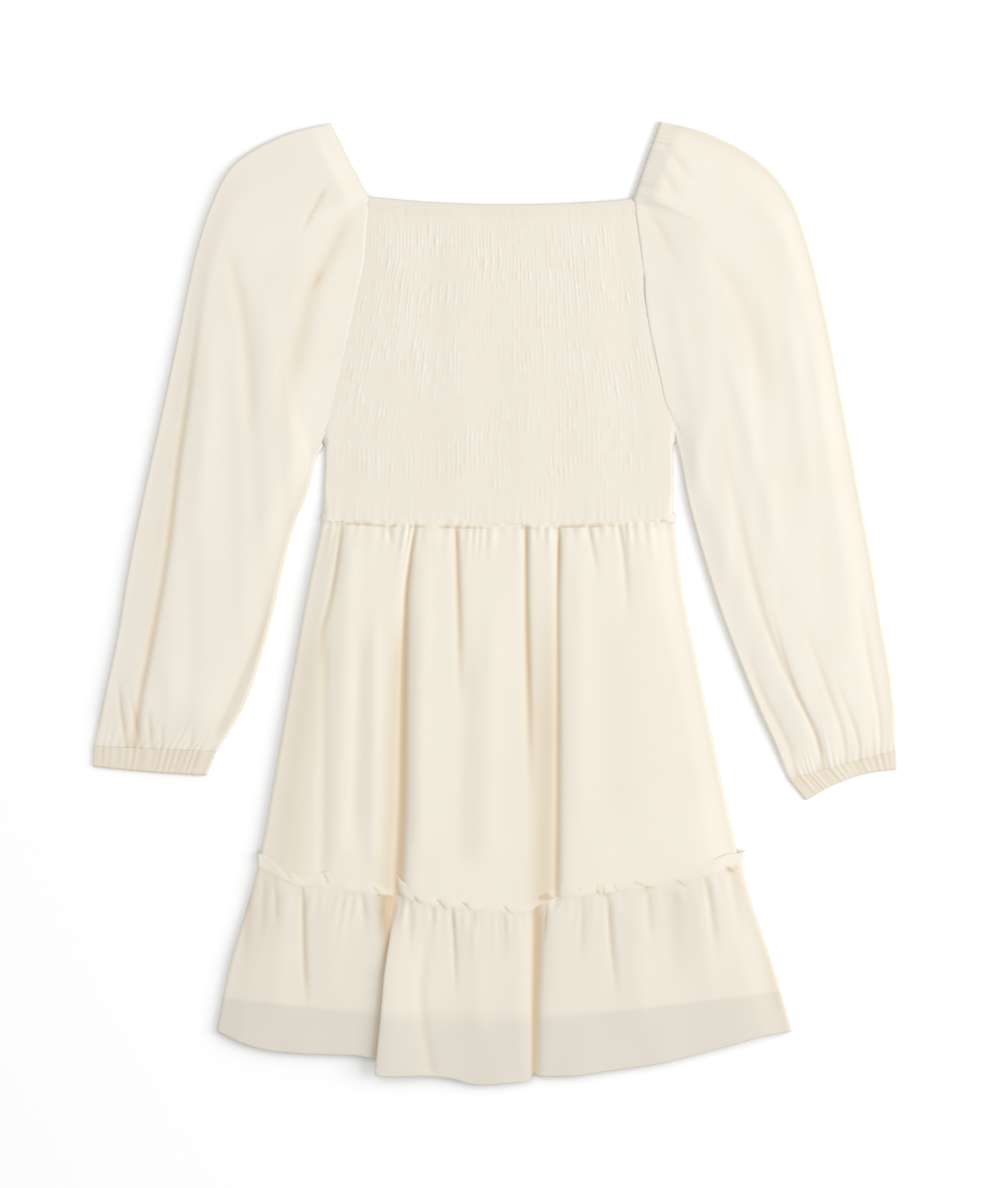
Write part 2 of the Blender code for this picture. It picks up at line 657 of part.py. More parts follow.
def armhole_bulge(armhole, sections, share):
    """How far the neckline and armhole edge lies from the straight line between its ends."""
    x = read_column(armhole, "x")
    y = read_column(armhole, "y")
    length = armhole_shares(armhole)
    first = sections[0]
    chord_x = mix(first.outer_x, first.inner_x, share)
    chord_y = mix(first.outer_y, first.inner_y, share)
    return np.interp(share, length, x) - chord_x, np.interp(share, length, y) - chord_y


def sleeve_plan(sections, armhole):
    """A function that lays sleeve points out: straight across each section, and bent to the
    armhole's line near the top."""

    def plan(share, down):
        outer_x = smooth_column(sections, "outer_x", down)
        outer_y = smooth_column(sections, "outer_y", down)
        inner_x = smooth_column(sections, "inner_x", down)
        inner_y = smooth_column(sections, "inner_y", down)
        bulge_x, bulge_y = armhole_bulge(armhole, sections, share)
        fade = np.clip(1.0 - down / 0.3, 0.0, 1.0) ** 2
        x = mix(outer_x, inner_x, share) + bulge_x * fade
        y = mix(outer_y, inner_y, share) + bulge_y * fade
        return x, y

    return plan


def sleeve_width(sections, down):
    """Straight distance between the two folds of the sleeve."""
    gap_x = smooth_column(sections, "inner_x", down) - smooth_column(sections, "outer_x", down)
    gap_y = smooth_column(sections, "inner_y", down) - smooth_column(sections, "outer_y", down)
    return np.hypot(gap_x, gap_y)


def sleeve_top(across, down, width, creases):
    """Height of the sleeve's front wall: a soft puff, pressed in by creases, that falls to the
    armhole and to the gathers above the cuff."""
    dome = smooth_step(np.minimum(across, 1.0 - across) * width / 22.0)
    swell = smooth_step(down / 0.1) * smooth_step((1.0 - down) / 0.12)
    height = SLEEVE_PUFF * dome * swell
    for crease in creases:
        along = (down - crease.start_down) / (crease.end_down - crease.start_down)
        line = mix(crease.across, crease.across_end, along)
        bell = np.exp(-(((across - line) * width / crease.half_width) ** 2))
        reach = smooth_step(along / 0.25 + 0.1) * smooth_step((1.0 - along) / 0.25 + 0.1)
        height = height - crease.depth * bell * reach * dome * (along > -0.1) * (along < 1.1)
    near_cuff = smooth_step((down - 0.86) / 0.14)
    near_neck = smooth_step((0.12 - down) / 0.12)
    gathers = 0.5 - 0.5 * np.cos(2 * np.pi * CUFF_WAVES * across)
    height = np.maximum(height, 0.0) + gathers * dome * (near_cuff + 0.7 * near_neck)
    return TUBE_TOP_MID + height


def add_sleeve(name, sections, armhole, creases):
    """One full sleeve, from the neckline and armhole to the cuff."""
    down = np.linspace(0.0, 1.0, SLEEVE_ROWS)[:, None]
    knots = armhole_shares(armhole)
    even = np.linspace(0.0, 1.0, FRONT_COLUMNS)
    apart = np.abs(even[:, None] - knots[None, :]).min(axis=1) > 0.4 / FRONT_COLUMNS
    across = np.sort(np.concatenate([even[apart], knots]))[None, :]
    width = sleeve_width(sections, down)
    top = sleeve_top(across, down, width, creases)
    grid = tube_grid(sleeve_plan(sections, armhole), width, across, top, knots[None, :], down)
    return add_cloth(name, grid, SLEEVE_CLOTH, closed=True)


def add_cuff(name, sections, foot, bow):
    """The elastic casing at the end of a sleeve, gathered in short waves. The bow draws the foot
    up between its corners."""
    head = sections[-1]
    down = np.array([0.0, 1.0])[:, None]
    across = np.linspace(0.0, 1.0, 4 * CUFF_WAVES + 1)[None, :]
    length_x = foot.inner_x - head.inner_x
    length_y = foot.inner_y - head.inner_y
    start = GAP / np.hypot(length_x, length_y)

    def plan(share, level):
        at = mix(start, 1.0, level)
        outer_x = mix(head.outer_x, foot.outer_x, at)
        outer_y = mix(head.outer_y, foot.outer_y, at)
        inner_x = mix(head.inner_x, foot.inner_x, at)
        inner_y = mix(head.inner_y, foot.inner_y, at)
        raised = bow * level * 4.0 * share * (1.0 - share)
        return mix(outer_x, inner_x, share), mix(outer_y, inner_y, share) + raised

    ends_x, ends_y = plan(np.array([[0.0, 1.0]]), down)
    width = np.hypot(np.diff(ends_x), np.diff(ends_y))
    dome = smooth_step(np.minimum(across, 1.0 - across) * width / 6.0)
    wave = 0.5 - 0.5 * np.cos(2 * np.pi * CUFF_WAVES * across)
    top = TUBE_TOP_MID + CUFF_WAVE_RISE * dome * wave * mix(0.7, 1.0, down)
    back = np.linspace(0.0, 1.0, BACK_COLUMNS)[None, :]
    grid = tube_grid(plan, width, across, top, back, down)
    return add_cloth(name, grid, SLEEVE_CLOTH, closed=True)


def main():
    """Builds the dress."""
    clear_scene()
    add_bodice_front()
    add_bodice_back()
    skirt = skirt_front_grid()
    add_cloth("skirt_front", skirt, SKIRT_CLOTH)
    add_cloth("tier_front", tier_front_grid(skirt), TIER_CLOTH)
    add_waist_heading()
    add_tier_heading(skirt)
    add_back_and_lining()
    add_sleeve("sleeve_left", LEFT_SLEEVE, LEFT_ARMHOLE, LEFT_CREASES)
    add_sleeve("sleeve_right", RIGHT_SLEEVE, RIGHT_ARMHOLE, RIGHT_CREASES)
    add_cuff("cuff_left", LEFT_SLEEVE, LEFT_CUFF_FOOT, LEFT_CUFF_BOW)
    add_cuff("cuff_right", RIGHT_SLEEVE, RIGHT_CUFF_FOOT, RIGHT_CUFF_BOW)


main()
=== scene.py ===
"""A girl's long sleeve dress of cream chiffon, laid flat and seen from straight above.

Every piece of cloth is a surface of two parameters, worked out on a grid in millimetres: across
the cloth, and down it from its upper seam. The sizes repeat those of the solids they stand for.
"""

from collections import namedtuple

import bpy
import numpy as np
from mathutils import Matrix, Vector


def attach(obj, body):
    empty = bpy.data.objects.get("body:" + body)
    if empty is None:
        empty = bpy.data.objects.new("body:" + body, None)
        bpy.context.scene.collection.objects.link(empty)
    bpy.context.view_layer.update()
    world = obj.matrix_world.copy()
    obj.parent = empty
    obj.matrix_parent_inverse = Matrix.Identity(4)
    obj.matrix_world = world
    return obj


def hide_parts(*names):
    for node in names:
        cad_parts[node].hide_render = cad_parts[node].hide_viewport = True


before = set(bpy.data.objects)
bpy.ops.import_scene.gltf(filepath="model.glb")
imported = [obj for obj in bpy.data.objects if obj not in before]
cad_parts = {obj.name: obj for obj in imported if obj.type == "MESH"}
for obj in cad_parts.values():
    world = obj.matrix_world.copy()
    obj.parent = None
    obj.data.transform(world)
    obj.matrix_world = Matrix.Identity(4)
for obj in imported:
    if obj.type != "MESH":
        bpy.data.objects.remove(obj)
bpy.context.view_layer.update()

bl_info = {
    "name": "Laid chiffon dress",
    "version": (1, 0, 0),
    "blender": (4, 5, 0),
    "location": "View3D > Sidebar > Dress",
    "description": "Builds a smocked chiffon dress that lies flat",
    "category": "Add Mesh",
}


def rows(kind, *values):
    """A table with named columns: one row of this kind for each set of values."""
    return [kind(*row) for row in values]


# Sizes in millimetres, as in the solids
MM = 0.001
MIDDLE = (0.0, 0.3, 0.0)
CAD_WALL = 1.2
GAP = 0.3
TUCK = 1.8
ARMPIT_Y = 113.0
NECK_Y = 291.2
NECK_DIP = 4.3
NECK_TILT = 1.5
WAIST_Y = 56.5
WAIST_SAG = 1.8
CASING = 10.0
SMOCKING_TOP_Y = 281.2
SMOCKING_FOOT_Y = 83.2
BACK_SEAM_Y = -189.7
BACK_SEAM_SAG = 26.0
LINING_INSET = 9.0
SIDE_ROUND = 1.8
SIDE_SLOPE = 28.0
FOLD_REACH = 3.0

# Heights of the middle of each layer above the surface
BACK_MID = 0.3
BACK_RISE = 0.7
LINING_BACK_MID = CAD_WALL * 1.5 + GAP
LINING_FRONT_MID = CAD_WALL * 2.5 + 2 * GAP
FRONT_MID = CAD_WALL * 3.5 + 3 * GAP
EDGE_MID = CAD_WALL * 1.5 + GAP
SIDE_SEAM_MID = 0.85
TUBE_BACK_MID = 0.5
TUBE_FOLD_MID = 2.2

# Stitches: how far apart they start, the share of that which shows, the rings along one, its
# radius, how far it bows up, and how high it lies over the cloth
STITCH_PITCH = 3.0
STITCH_SHARE = 0.72
STITCH_RINGS = 5
STITCH_RADIUS = 0.14
STITCH_BOW = 0.1
STITCH_LIFT = 0.16

# How many small gathers run along a seam, where no setting says it
NECK_GATHERS = 64
ARMHOLE_GATHERS = 46
BODICE_FOOT_GATHERS = 46
CASING_PUCKERS = 44

# How far the small gathers reach from their stitches
WAIST_REACH = 15.0
BODICE_FOOT_REACH = 14.0
TIER_REACH = 22.0
NECK_REACH = 16.0
ARMHOLE_REACH = 9.0
CUFF_REACH = 20.0

# How far apart the soft swells of the cloth lie
SWELL_SPACING = 24.0

# Painted shade on the rims that turn down towards the light, and the tone of the cuffs, darker all over,
# as shares of the deep tone of painted shade
RIM_SHADE = 0.2
CUFF_TONE = 0.32

# Threads of the weave to a metre
THREADS = 1400.0

# How many points each surface has
BODICE_COLUMNS = 424
CASING_LINES = 9
LINES_A_ROW = 4
PLAIN_LINES = 10
BODICE_BACK_COLUMNS = 100
BODICE_BACK_ROWS = 90
PANEL_COLUMNS = 264
SKIRT_ROWS = 134
TIER_ROWS = 112
WAIST_HEADING_COLUMNS = 460
TIER_HEADING_COLUMNS = 620
HEADING_ROWS = 15
SLEEVE_COLUMNS = 204
SLEEVE_BACK_COLUMNS = 20
SLEEVE_ROWS = 136
CUFF_COLUMNS = 200
CUFF_BACK_COLUMNS = 80
CUFF_ROWS = 13
ROUND_COLUMNS = 7
BACK_COLUMNS = 150
BACK_ROWS = 40
LINING_COLUMNS = 50

# Where the stitch lines run on those grids
HEADING_STITCH_ROW = 2
CUFF_STITCH_ROW = 2
CUFF_STITCH_INSET = 4
NECK_STITCH_INSET = 6
HEM_STITCH_ROW = -5

# How many draws the uneven patterns go through before they repeat
LINE_DRAWS = 512
FIELD_DRAWS = 128
PUCKER_DRAWS = 256
TICK_DRAWS = 128
ROW_DRAWS = 64

# The surface, the light and the camera, in metres, except for the sensor in millimetres and the
# middle of the picture and its height over the surface in millimetres of the dress
FLOOR_HALF = 4.0
FLOOR_LEVEL = -0.0002
SKY_STRENGTH = 0.66
SENSOR_WIDTH = 36.0
VIEW_CENTRE = (3.2, 5.8)
CLOTH_LEVEL = 5.0
Softbox = namedtuple("Softbox", "name place size power")
SOFTBOXES = rows(
    Softbox,
    ("key_softbox", (2.35, 0.15, 1.6), 1.9, 47.4),
    ("fill_softbox", (-0.6, 0.9, 2.4), 1.6, 10.6),
)

# The cloth of each solid: its material slot, the cut of what shows in metres, how it is held,
# what it rests on, and its area in square metres where the cut isn't a rectangle
Cloth = namedtuple("Cloth", "slot flat held rests_on area", defaults=[None])

# Where the sides of the bodice lie, from the waist up
BodiceSection = namedtuple("BodiceSection", "y left right")
BODICE_SECTIONS = rows(
    BodiceSection,
    (56.5, -124.6, 128.2),
    (95.4, -122.6, 128.2),
    (117.0, -122.2, 127.8),
    (145.8, -115.2, 124.6),
    (196.2, -104.4, 113.0),
    (246.6, -93.2, 105.1),
    (291.2, -90.0, 98.6),
)

# The deep folds cross each section of the skirt and the tier; the grain names the same lines as
# shares of the cloth's width
PanelSection = namedtuple("PanelSection", "down left groove channel_left channel_right right")
GRAIN = PanelSection(None, 0.0, 0.27, 0.575, 0.675, 1.0)
LANDMARKS = ("left", "groove", "channel_left", "channel_right", "right")
SKIRT_SECTIONS = rows(
    PanelSection,
    (0.0, -124.6, -57.6, 22.3, 46.8, 128.2),
    (0.2, -135.2, -64.8, 21.6, 46.1, 134.8),
    (0.5, -148.8, -67.0, 20.9, 45.4, 149.8),
    (0.8, -161.8, -68.4, 20.2, 44.6, 165.2),
    (1.0, -170.6, -72.0, 19.4, 43.2, 176.2),
)
TIER_SECTIONS = rows(
    PanelSection,
    (0.0, -170.6, -72.0, 19.4, 43.2, 176.2),
    (0.2, -177.2, -75.0, 21.0, 39.6, 183.2),
    (0.6, -191.5, -79.2, 22.8, 36.4, 199.4),
    (1.0, -200.9, -84.2, 23.9, 32.4, 213.8),
)

# Seams and hems, by shares of the cloth's width
EdgePoint = namedtuple("EdgePoint", "across y")
TIER_SEAM = rows(
    EdgePoint,
    (0.0, -189.7), (0.084, -202.7), (0.172, -205.6), (0.26, -208.8), (0.287, -210.6),
    (0.426, -216.4), (0.57, -220.0), (0.625, -216.4), (0.677, -210.6), (0.751, -207.0),
    (0.835, -203.4), (0.92, -196.9), (1.0, -186.8),
)
FRONT_HEM = rows(
    EdgePoint,
    (0.0, -308.5), (0.045, -317.0), (0.1, -322.5), (0.255, -327.2), (0.285, -339.5),
    (0.4, -341.6), (0.48, -346.4), (0.565, -346.0), (0.625, -339.0), (0.69, -341.5),
    (0.756, -337.2), (0.83, -331.2), (0.89, -322.5), (0.95, -314.0), (1.0, -307.8),
)
BACK_HEM = rows(
    EdgePoint,
    (0.0, -307.8), (0.25, -324.0), (0.5, -333.0), (0.75, -328.0), (1.0, -307.8),
)
LINING_HEM = rows(
    EdgePoint,
    (0.0, -286.2), (0.25, -295.0), (0.5, -300.6), (0.75, -292.0), (1.0, -275.4),
)

# The sides of the skirt and the tier that the lining keeps inside of, from the hem up
LiningSection = namedtuple("LiningSection", "y left right")
LINING_SECTIONS = rows(
    LiningSection,
    (-300.0, -197.0, 204.0),
    (-260.6, -191.5, 199.4),
    (-189.7, -171.4, 177.8),
    (-67.0, -149.8, 152.6),
    (56.5, -124.6, 128.2),
)

# The foot of the lining, seen through the tier. Below it the tier takes a greyer tone: its thin cloth,
# with painted shade of the gap behind
LINING_LINE = (
    (-200, -284), (-150, -289), (-90, -295), (-60, -297), (30, -298), (90, -293), (205, -280)
)

# Folds of the cloth. Each follows a line of points from its upper end down, presses a trough this deep
# or, below zero, raises a ridge, and darkens the cloth by its tone, a painted shade along the crease. It
# has a half width at each end and comes in and goes out over two lengths.
Fold = namedtuple("Fold", "line width_top width_foot depth tone fade_in fade_out")
SKIRT_FOLDS = rows(
    Fold,
    (
        ((-57, 57), (-61, 31), (-64, 2), (-66, -70), (-67, -142), (-70, -212)),
        1.7, 3.4, 10, 0.95, 110, 0,
    ),
    (((-57, 57), (-61, 31), (-64, 2), (-65, -40)), 1.2, 1.8, 3, 0.6, 0, 70),
    (((-66, 10), (-72, -60), (-75, -140), (-78, -212)), 6, 8, 1.3, 0.36, 60, 0),
    (
        ((22.4, 57), (22.5, 20), (22.6, 0), (23, -22), (24.4, -85), (25, -150)),
        1.5, 2.8, 3.0, 0.9, 0, 120,
    ),
    (((46.2, 57), (45.4, 20), (45, 0), (45.2, -70), (45, -142), (44, -215)), 1.4, 2.4, 3.2, 0.6, 0, 0),
    (((46.2, 57), (45.4, 20), (45, 0)), 1.2, 1.4, 1.0, 0.4, 0, 36),
    (((37, 50), (36, -60), (34, -215)), 8, 10, 1.8, 0.48, 150, 0),
    (((-110, 57), (-114, 27), (-119, 0), (-124.5, -23), (-127, -62)), 1.4, 2.4, 2.0, 0.6, 0, 80),
    (((-124, 10), (-136, -80), (-150, -200)), 13, 15, 0.8, 0.22, 60, 0),
    (((-122, 0), (-123, -80), (-124, -205)), 3.0, 4.0, 1.2, 0.12, 50, 10),
    (((-77, 57), (-73, 38)), 1.4, 1.8, 1.4, 0.45, 0, 16),
    (((-28, 57), (-27, 25), (-26, -17), (-25, -85)), 1.4, 3.0, 2.2, 0.75, 0, 100),
    (((67, 57), (71, 34), (75, 10)), 1.6, 2.2, 1.2, 0.25, 0, 40),
    (((89, 57), (93, 30), (95, 0), (96, -22)), 1.6, 2.8, 1.5, 0.3, 0, 60),
    (((-103, 45), (-106, 0), (-112, -190)), 6, 8, -1.2, 0, 15, 20),
    (((-86, 5), (-87, -100), (-88, -195)), 4, 6, -1.1, 0, 40, 20),
    (((-50, 40), (-53, -60), (-55, -190)), 6, 7, -0.8, 0, 20, 30),
    (((-2, 10), (-4, -100), (-5, -195)), 7, 9, -0.9, 0, 40, 30),
    (((60, 40), (60, -60), (60, -180)), 6, 8, -0.7, 0, 20, 60),
    (((-19, -20), (-22, -100), (-24, -195)), 6, 8, 1.0, 0.14, 40, 20),
    (((80, 0), (84, -80), (88, -180)), 9, 12, 0.6, 0.06, 50, 50),
    (((119, 0), (132, -80), (145, -170)), 10, 13, 0.7, 0.08, 50, 50),
    (((-96, -10), (-98, -80), (-101, -180)), 4, 5, 0.9, 0.14, 40, 30),
)
TIER_FOLDS = rows(
    Fold,
    (((30.2, -210), (29.6, -250), (28.6, -293), (28.2, -348)), 3.8, 2.0, 9, 1.0, 0, 0),
    (((37, -212), (36, -228), (34.6, -248)), 1.0, 1.2, 1.5, 0.5, 3, 20),
    (((-138, -200), (-137.5, -243), (-135, -300)), 1.2, 1.9, 1.6, 0.6, 0, 50),
    (((-31, -212), (-29, -255), (-28, -292)), 1.2, 1.8, 1.4, 0.45, 0, 50),
    (((-48, -225), (-53, -285), (-45, -341)), 4.0, 3.4, 1.2, 0.15, 50, 6),
    (((63, -212), (61, -268)), 1.5, 2.4, 1.2, 0.3, 0, 40),
    (((81, -208), (84, -250), (89, -292)), 1.2, 1.9, 1.6, 0.5, 0, 50),
    (((127, -200), (130, -250), (134, -288)), 6, 8, 1.2, 0.2, 12, 60),
    (((151, -195), (156, -225), (160, -262)), 1.6, 2.4, 1.6, 0.42, 0, 45),
    (((-176, -202), (-182, -268)), 2.2, 3.0, 2.0, 0.4, 0, 45),
    (((-166, -202), (-169, -250)), 1.5, 2.2, 1.2, 0.22, 0, 35),
    (((-158, -203), (-157, -238)), 1.4, 2.0, 1.2, 0.25, 0, 28),
    (((-95, -205), (-93, -245)), 1.6, 2.4, 1.2, 0.28, 0, 30),
    (((-60, -208), (-62, -255)), 1.4, 2.0, 1.3, 0.32, 0, 35),
    (((-45, -212), (-45, -236)), 1.3, 1.8, 1.2, 0.3, 0, 20),
    (((-15, -216), (-15, -244)), 1.3, 1.8, 1.2, 0.3, 0, 22),
    (((5, -218), (6, -268)), 1.8, 2.6, 1.0, 0.2, 0, 35),
    (((110, -203), (112, -250)), 2.2, 3.0, 1.1, 0.2, 0, 35),
    (((170, -190), (178, -245)), 2.6, 3.4, 1.2, 0.2, 0, 40),
    (((192, -222), (205, -300)), 5, 7, 1.0, 0.14, 25, 10),
    (((-118, -212), (-120, -300)), 8, 10, -0.8, 0, 12, 40),
    (((-15, -225), (-10, -330)), 7, 10, -0.7, 0, 14, 30),
    (((100, -215), (108, -320)), 8, 11, -0.8, 0, 14, 30),
    (((-150, -212), (-158, -310)), 7, 10, -0.8, 0, 12, 30),
    (((146, -205), (158, -300)), 6, 9, -0.7, 0, 12, 30),
)
# Short slanting creases where the tier is sewn on, pressed into the tier and into its heading, with
# painted shade along them
TIER_MARKS = rows(
    Fold,
    (((-154, -190), (-150, -195), (-145, -200.5)), 1.0, 1.2, 0.5, 0.4, 4, 3),
    (((-140, -191), (-138, -199)), 0.9, 1.0, 0.3, 0.25, 4, 3),
    (((-126, -191), (-122, -197), (-119.5, -204)), 0.8, 1.2, 0.5, 0.5, 5, 3),
    (((-108, -194), (-104, -200.5)), 0.9, 1.0, 0.5, 0.45, 3, 2),
    (((-105, -199), (-93, -202)), 0.5, 0.5, 0.4, 0.4, 1, 1),
    (((-89, -202), (-82, -211.5)), 1.1, 1.4, 0.5, 0.5, 4, 3),
    (((-64, -203), (-60, -209), (-53, -217.5)), 0.9, 1.2, 0.6, 0.55, 5, 3),
    (((-44, -210), (-40, -215), (-34, -222)), 0.8, 1.2, 0.6, 0.5, 4, 3),
    (((-27, -209), (-23, -215), (-17, -222)), 0.8, 1.2, 0.6, 0.55, 4, 3),
    (((-12, -207), (-2, -212)), 0.6, 0.8, 0.3, 0.3, 2, 2),
    (((3.5, -214), (7, -219), (12.5, -224.5)), 0.8, 1.2, 0.5, 0.45, 4, 3),
    (((58, -203), (62, -209)), 0.9, 1.0, 0.4, 0.3, 3, 3),
    (((70, -199), (72, -204), (75.5, -211)), 0.9, 1.2, 0.5, 0.45, 4, 3),
    (((76, -201), (80, -213)), 0.9, 1.0, 0.4, 0.4, 4, 3),
    (((84, -200), (88, -209)), 0.9, 1.0, 0.4, 0.35, 3, 3),
    (((92, -198), (102, -202), (114, -206)), 0.7, 0.8, 0.5, 0.55, 2, 2),
    (((125, -197), (131, -200), (138, -205)), 0.7, 0.8, 0.4, 0.4, 3, 2),
    (((137, -190), (149, -195)), 0.6, 0.7, 0.4, 0.35, 2, 2),
    (((163, -187), (172, -195)), 0.9, 1.4, 0.5, 0.5, 4, 2),
)

# The lap of the tier's middle over its left, and how finely the cloth is divided near it and at
# the sides, as shares of the width
LAP_REACH = 4.6
LAP_SPREAD = 3.2
LAP_RISE = 5.0
LAP_LIFT = 0.8
LAP_SHARE = 0.04
SIDE_SHARE = 0.0035

# How much the hem sways in and out
HEM_FLARE = 0.9

# The headings: height, number of small folds, how far they rise and the free edge sinks, how far it
# sways, the lean of its folds, the share of the height over which it climbs, how much painted shade lies
# in its creases, how far each end stands out, and the seed of its draws
Heading = namedtuple("Heading", "height count rise sink curl skew climb crease end_left end_right seed")
WAIST_HEADING = Heading(10.5, 27, 0.7, 0.8, 0.8, 0.002, 0.5, 1.0, 1.0, 1.5, 51)
TIER_HEADING = Heading(14.0, 17, 0.35, 0.35, 2.0, 0.014, 0.35, 0.15, 2.5, 5.5, 67)

# The share of the skirt's length where the waist heading is sewn on, and the one past which the
# tier heading lies over the skirt
WAIST_HEADING_SHARE = 0.008
TIER_HEADING_SHARE = 0.94

# The tier heading is sewn on this far under the seam, and lower still around its middle
HEADING_DROP = 3.6
HEADING_MIDDLE_DROP = 2.5
HEADING_MIDDLE_X = -28.0
HEADING_MIDDLE_HALF = 34.0

# Beside the deep fold the tier heading has a tip on its right and a rounded corner on its left
Bend = namedtuple("Bend", "x width move_x move_y")
HEADING_BENDS = rows(Bend, (-68.0, 2.4, -3.0, 6.0), (-79.0, 4.0, 2.0, -6.0))

# The corner of the tier heading at the pleat that takes painted shade: its left side, its foot, its top
# there, and its slope
Corner = namedtuple("Corner", "left foot top slope")
PLEAT_CORNER = Corner(31.0, -214.5, -203.0, 0.8)

# The sleeves, from the neck edge down to the cuff, and the line of the neck edge and the armhole
SleeveSection = namedtuple("SleeveSection", "outer_x outer_y inner_x inner_y")
LEFT_SLEEVE = rows(
    SleeveSection,
    (-118.8, 346.0, -125.3, 113.4),
    (-142.5, 341.0, -126.0, 110.0),
    (-168.0, 330.5, -128.5, 106.5),
    (-190.5, 314.5, -130.8, 101.5),
    (-204.5, 288.0, -132.8, 90.0),
    (-215.5, 254.0, -137.2, 75.5),
    (-228.2, 196.0, -144.2, 58.5),
    (-240.6, 138.6, -150.0, 38.0),
    (-253.6, 81.0, -156.2, 10.5),
    (-264.6, 28.0, -162.4, -16.5),
    (-273.4, -25.0, -170.2, -44.0),
    (-281.5, -63.0, -178.5, -68.5),
    (-286.5, -88.0, -190.0, -90.0),
    (-289.4, -104.0, -201.5, -108.0),
)
RIGHT_SLEEVE = rows(
    SleeveSection,
    (119.0, 347.2, 131.4, 117.0),
    (143.0, 342.0, 132.0, 113.5),
    (168.0, 332.0, 133.2, 106.5),
    (192.6, 316.5, 135.0, 96.5),
    (212.4, 293.0, 138.5, 75.5),
    (226.8, 254.0, 144.7, 50.5),
    (239.0, 204.0, 152.2, 24.5),
    (251.0, 141.5, 161.0, -4.0),
    (262.0, 83.0, 171.0, -31.5),
    (271.0, 35.0, 181.2, -57.5),
    (278.8, -13.0, 190.8, -81.0),
    (285.4, -50.0, 199.4, -99.5),
    (288.8, -85.0, 205.6, -114.0),
    (289.2, -107.5, 212.0, -127.5),
)
ArmholePoint = namedtuple("ArmholePoint", "x y")
LEFT_ARMHOLE = rows(
    ArmholePoint,
    (-118.8, 346.0), (-105.0, 318.0), (-90.6, 291.2), (-93.8, 246.6), (-105.0, 196.2),
    (-115.8, 145.8), (-125.3, 113.4),
)
RIGHT_ARMHOLE = rows(
    ArmholePoint,
    (119.0, 347.2), (109.0, 320.0), (99.2, 291.2), (105.7, 246.6), (113.6, 196.2), (125.2, 145.8),
    (131.4, 117.0),
)
LEFT_FOLDS = rows(
    Fold,
    (
        ((-209, 250), (-220.5, 156), (-228, 105), (-237, 33), (-249, -34), (-256, -70), (-261, -112)),
        2.6, 2.6, 2.1, 0.5, 140, 0,
    ),
    (((-214, 235), (-223, 170), (-233, 100), (-244, 20), (-258, -70)), 7, 6, 0.6, 0.1, 80, 20),
    (((-194, 262), (-182, 208), (-177, 156), (-176, 112)), 4.6, 5, 1.5, 0.2, 50, 50),
    (((-103, 286), (-116, 256), (-131, 227), (-138, 197), (-146, 150)), 4.4, 8.0, 1.3, 0.32, 20, 60),
    (((-122, 243), (-127, 234), (-132, 222)), 1.5, 1.8, 0.8, 0.4, 10, 12),
    (((-136, 212), (-146, 167), (-150, 115)), 7, 9, 1.2, 0.18, 40, 60),
    (((-120, 302), (-129, 285), (-139, 265)), 1.2, 1.0, 0.9, 0.5, 10, 10),
    (((-272, -50), (-269, -80), (-264, -112)), 1.5, 1.6, 1.2, 0.45, 30, 0),
    (((-263, -60), (-259, -85), (-254, -112)), 1.3, 1.5, 1.0, 0.4, 25, 0),
    (((-250, -72), (-247, -112)), 1.4, 1.5, 1.2, 0.4, 22, 0),
    (((-240, -84), (-240, -114)), 1.4, 1.4, 0.9, 0.3, 16, 0),
    (((-161, 15), (-171, -25), (-185, -60), (-203, -100)), 3.4, 3.0, 1.4, 0.24, 45, 10),
    (((-218, -88), (-220, -114)), 1.4, 1.4, 0.8, 0.2, 14, 0),
    (((-168, 230), (-158, 131), (-164, 20)), 8, 9, -0.9, 0, 45, 60),
    (((-203, 215), (-208, 124), (-221, 20)), 6, 7, -0.8, 0, 45, 60),
    (((-240, -20), (-232, -80)), 8, 8, -0.8, 0, 40, 20),
)
RIGHT_FOLDS = rows(
    Fold,
    (
        ((150, 185), (172, 77), (192, -6), (215, -63), (232, -98), (239, -135)),
        4.6, 1.6, 1.4, 0.34, 250, 0,
    ),
    (((215, 5), (238, -60), (250, -95), (256, -132)), 3.0, 1.6, 0.9, 0.22, 90, 0),
    (((240, -45), (255, -80), (263, -105), (267, -130)), 2.0, 1.5, 0.9, 0.26, 50, 0),
    (((260, 15), (270, -47), (277, -88), (279, -125)), 2.8, 1.8, 0.8, 0.2, 60, 0),
    (((178, -20), (190, -60), (212, -105), (222, -138)), 3.0, 2.2, 1.0, 0.2, 60, 0),
    (((140, 272), (176, 218), (202, 125)), 6, 7, 0.9, 0.1, 50, 60),
    (((209, 215), (220, 133), (231, 50)), 6, 8, -0.8, 0, 45, 60),
    (((160, 205), (190, 95), (214, 0)), 5, 7, -0.8, 0, 50, 60),
    (((127, 240), (137, 170), (150, 100)), 5, 7, -0.7, 0, 40, 50),
    (((194, 10), (213, -54), (235, -109), (240, -133)), 1.5, 1.2, 0.7, 0.3, 50, 0),
    (((116, 318), (124, 305), (133, 288)), 2.0, 2.4, 0.9, 0.2, 14, 14),
    (((120, 334), (131, 318), (146, 298)), 2.0, 2.6, 0.8, 0.16, 14, 18),
    (((108, 290), (122, 262), (134, 236)), 2.6, 3.4, 0.9, 0.16, 20, 30),
)
# The bend at the armhole: how soon it softens down the sleeve, and over which share of the width
BEND_SOFTNESS = 0.07
BEND_SPREAD = 0.09

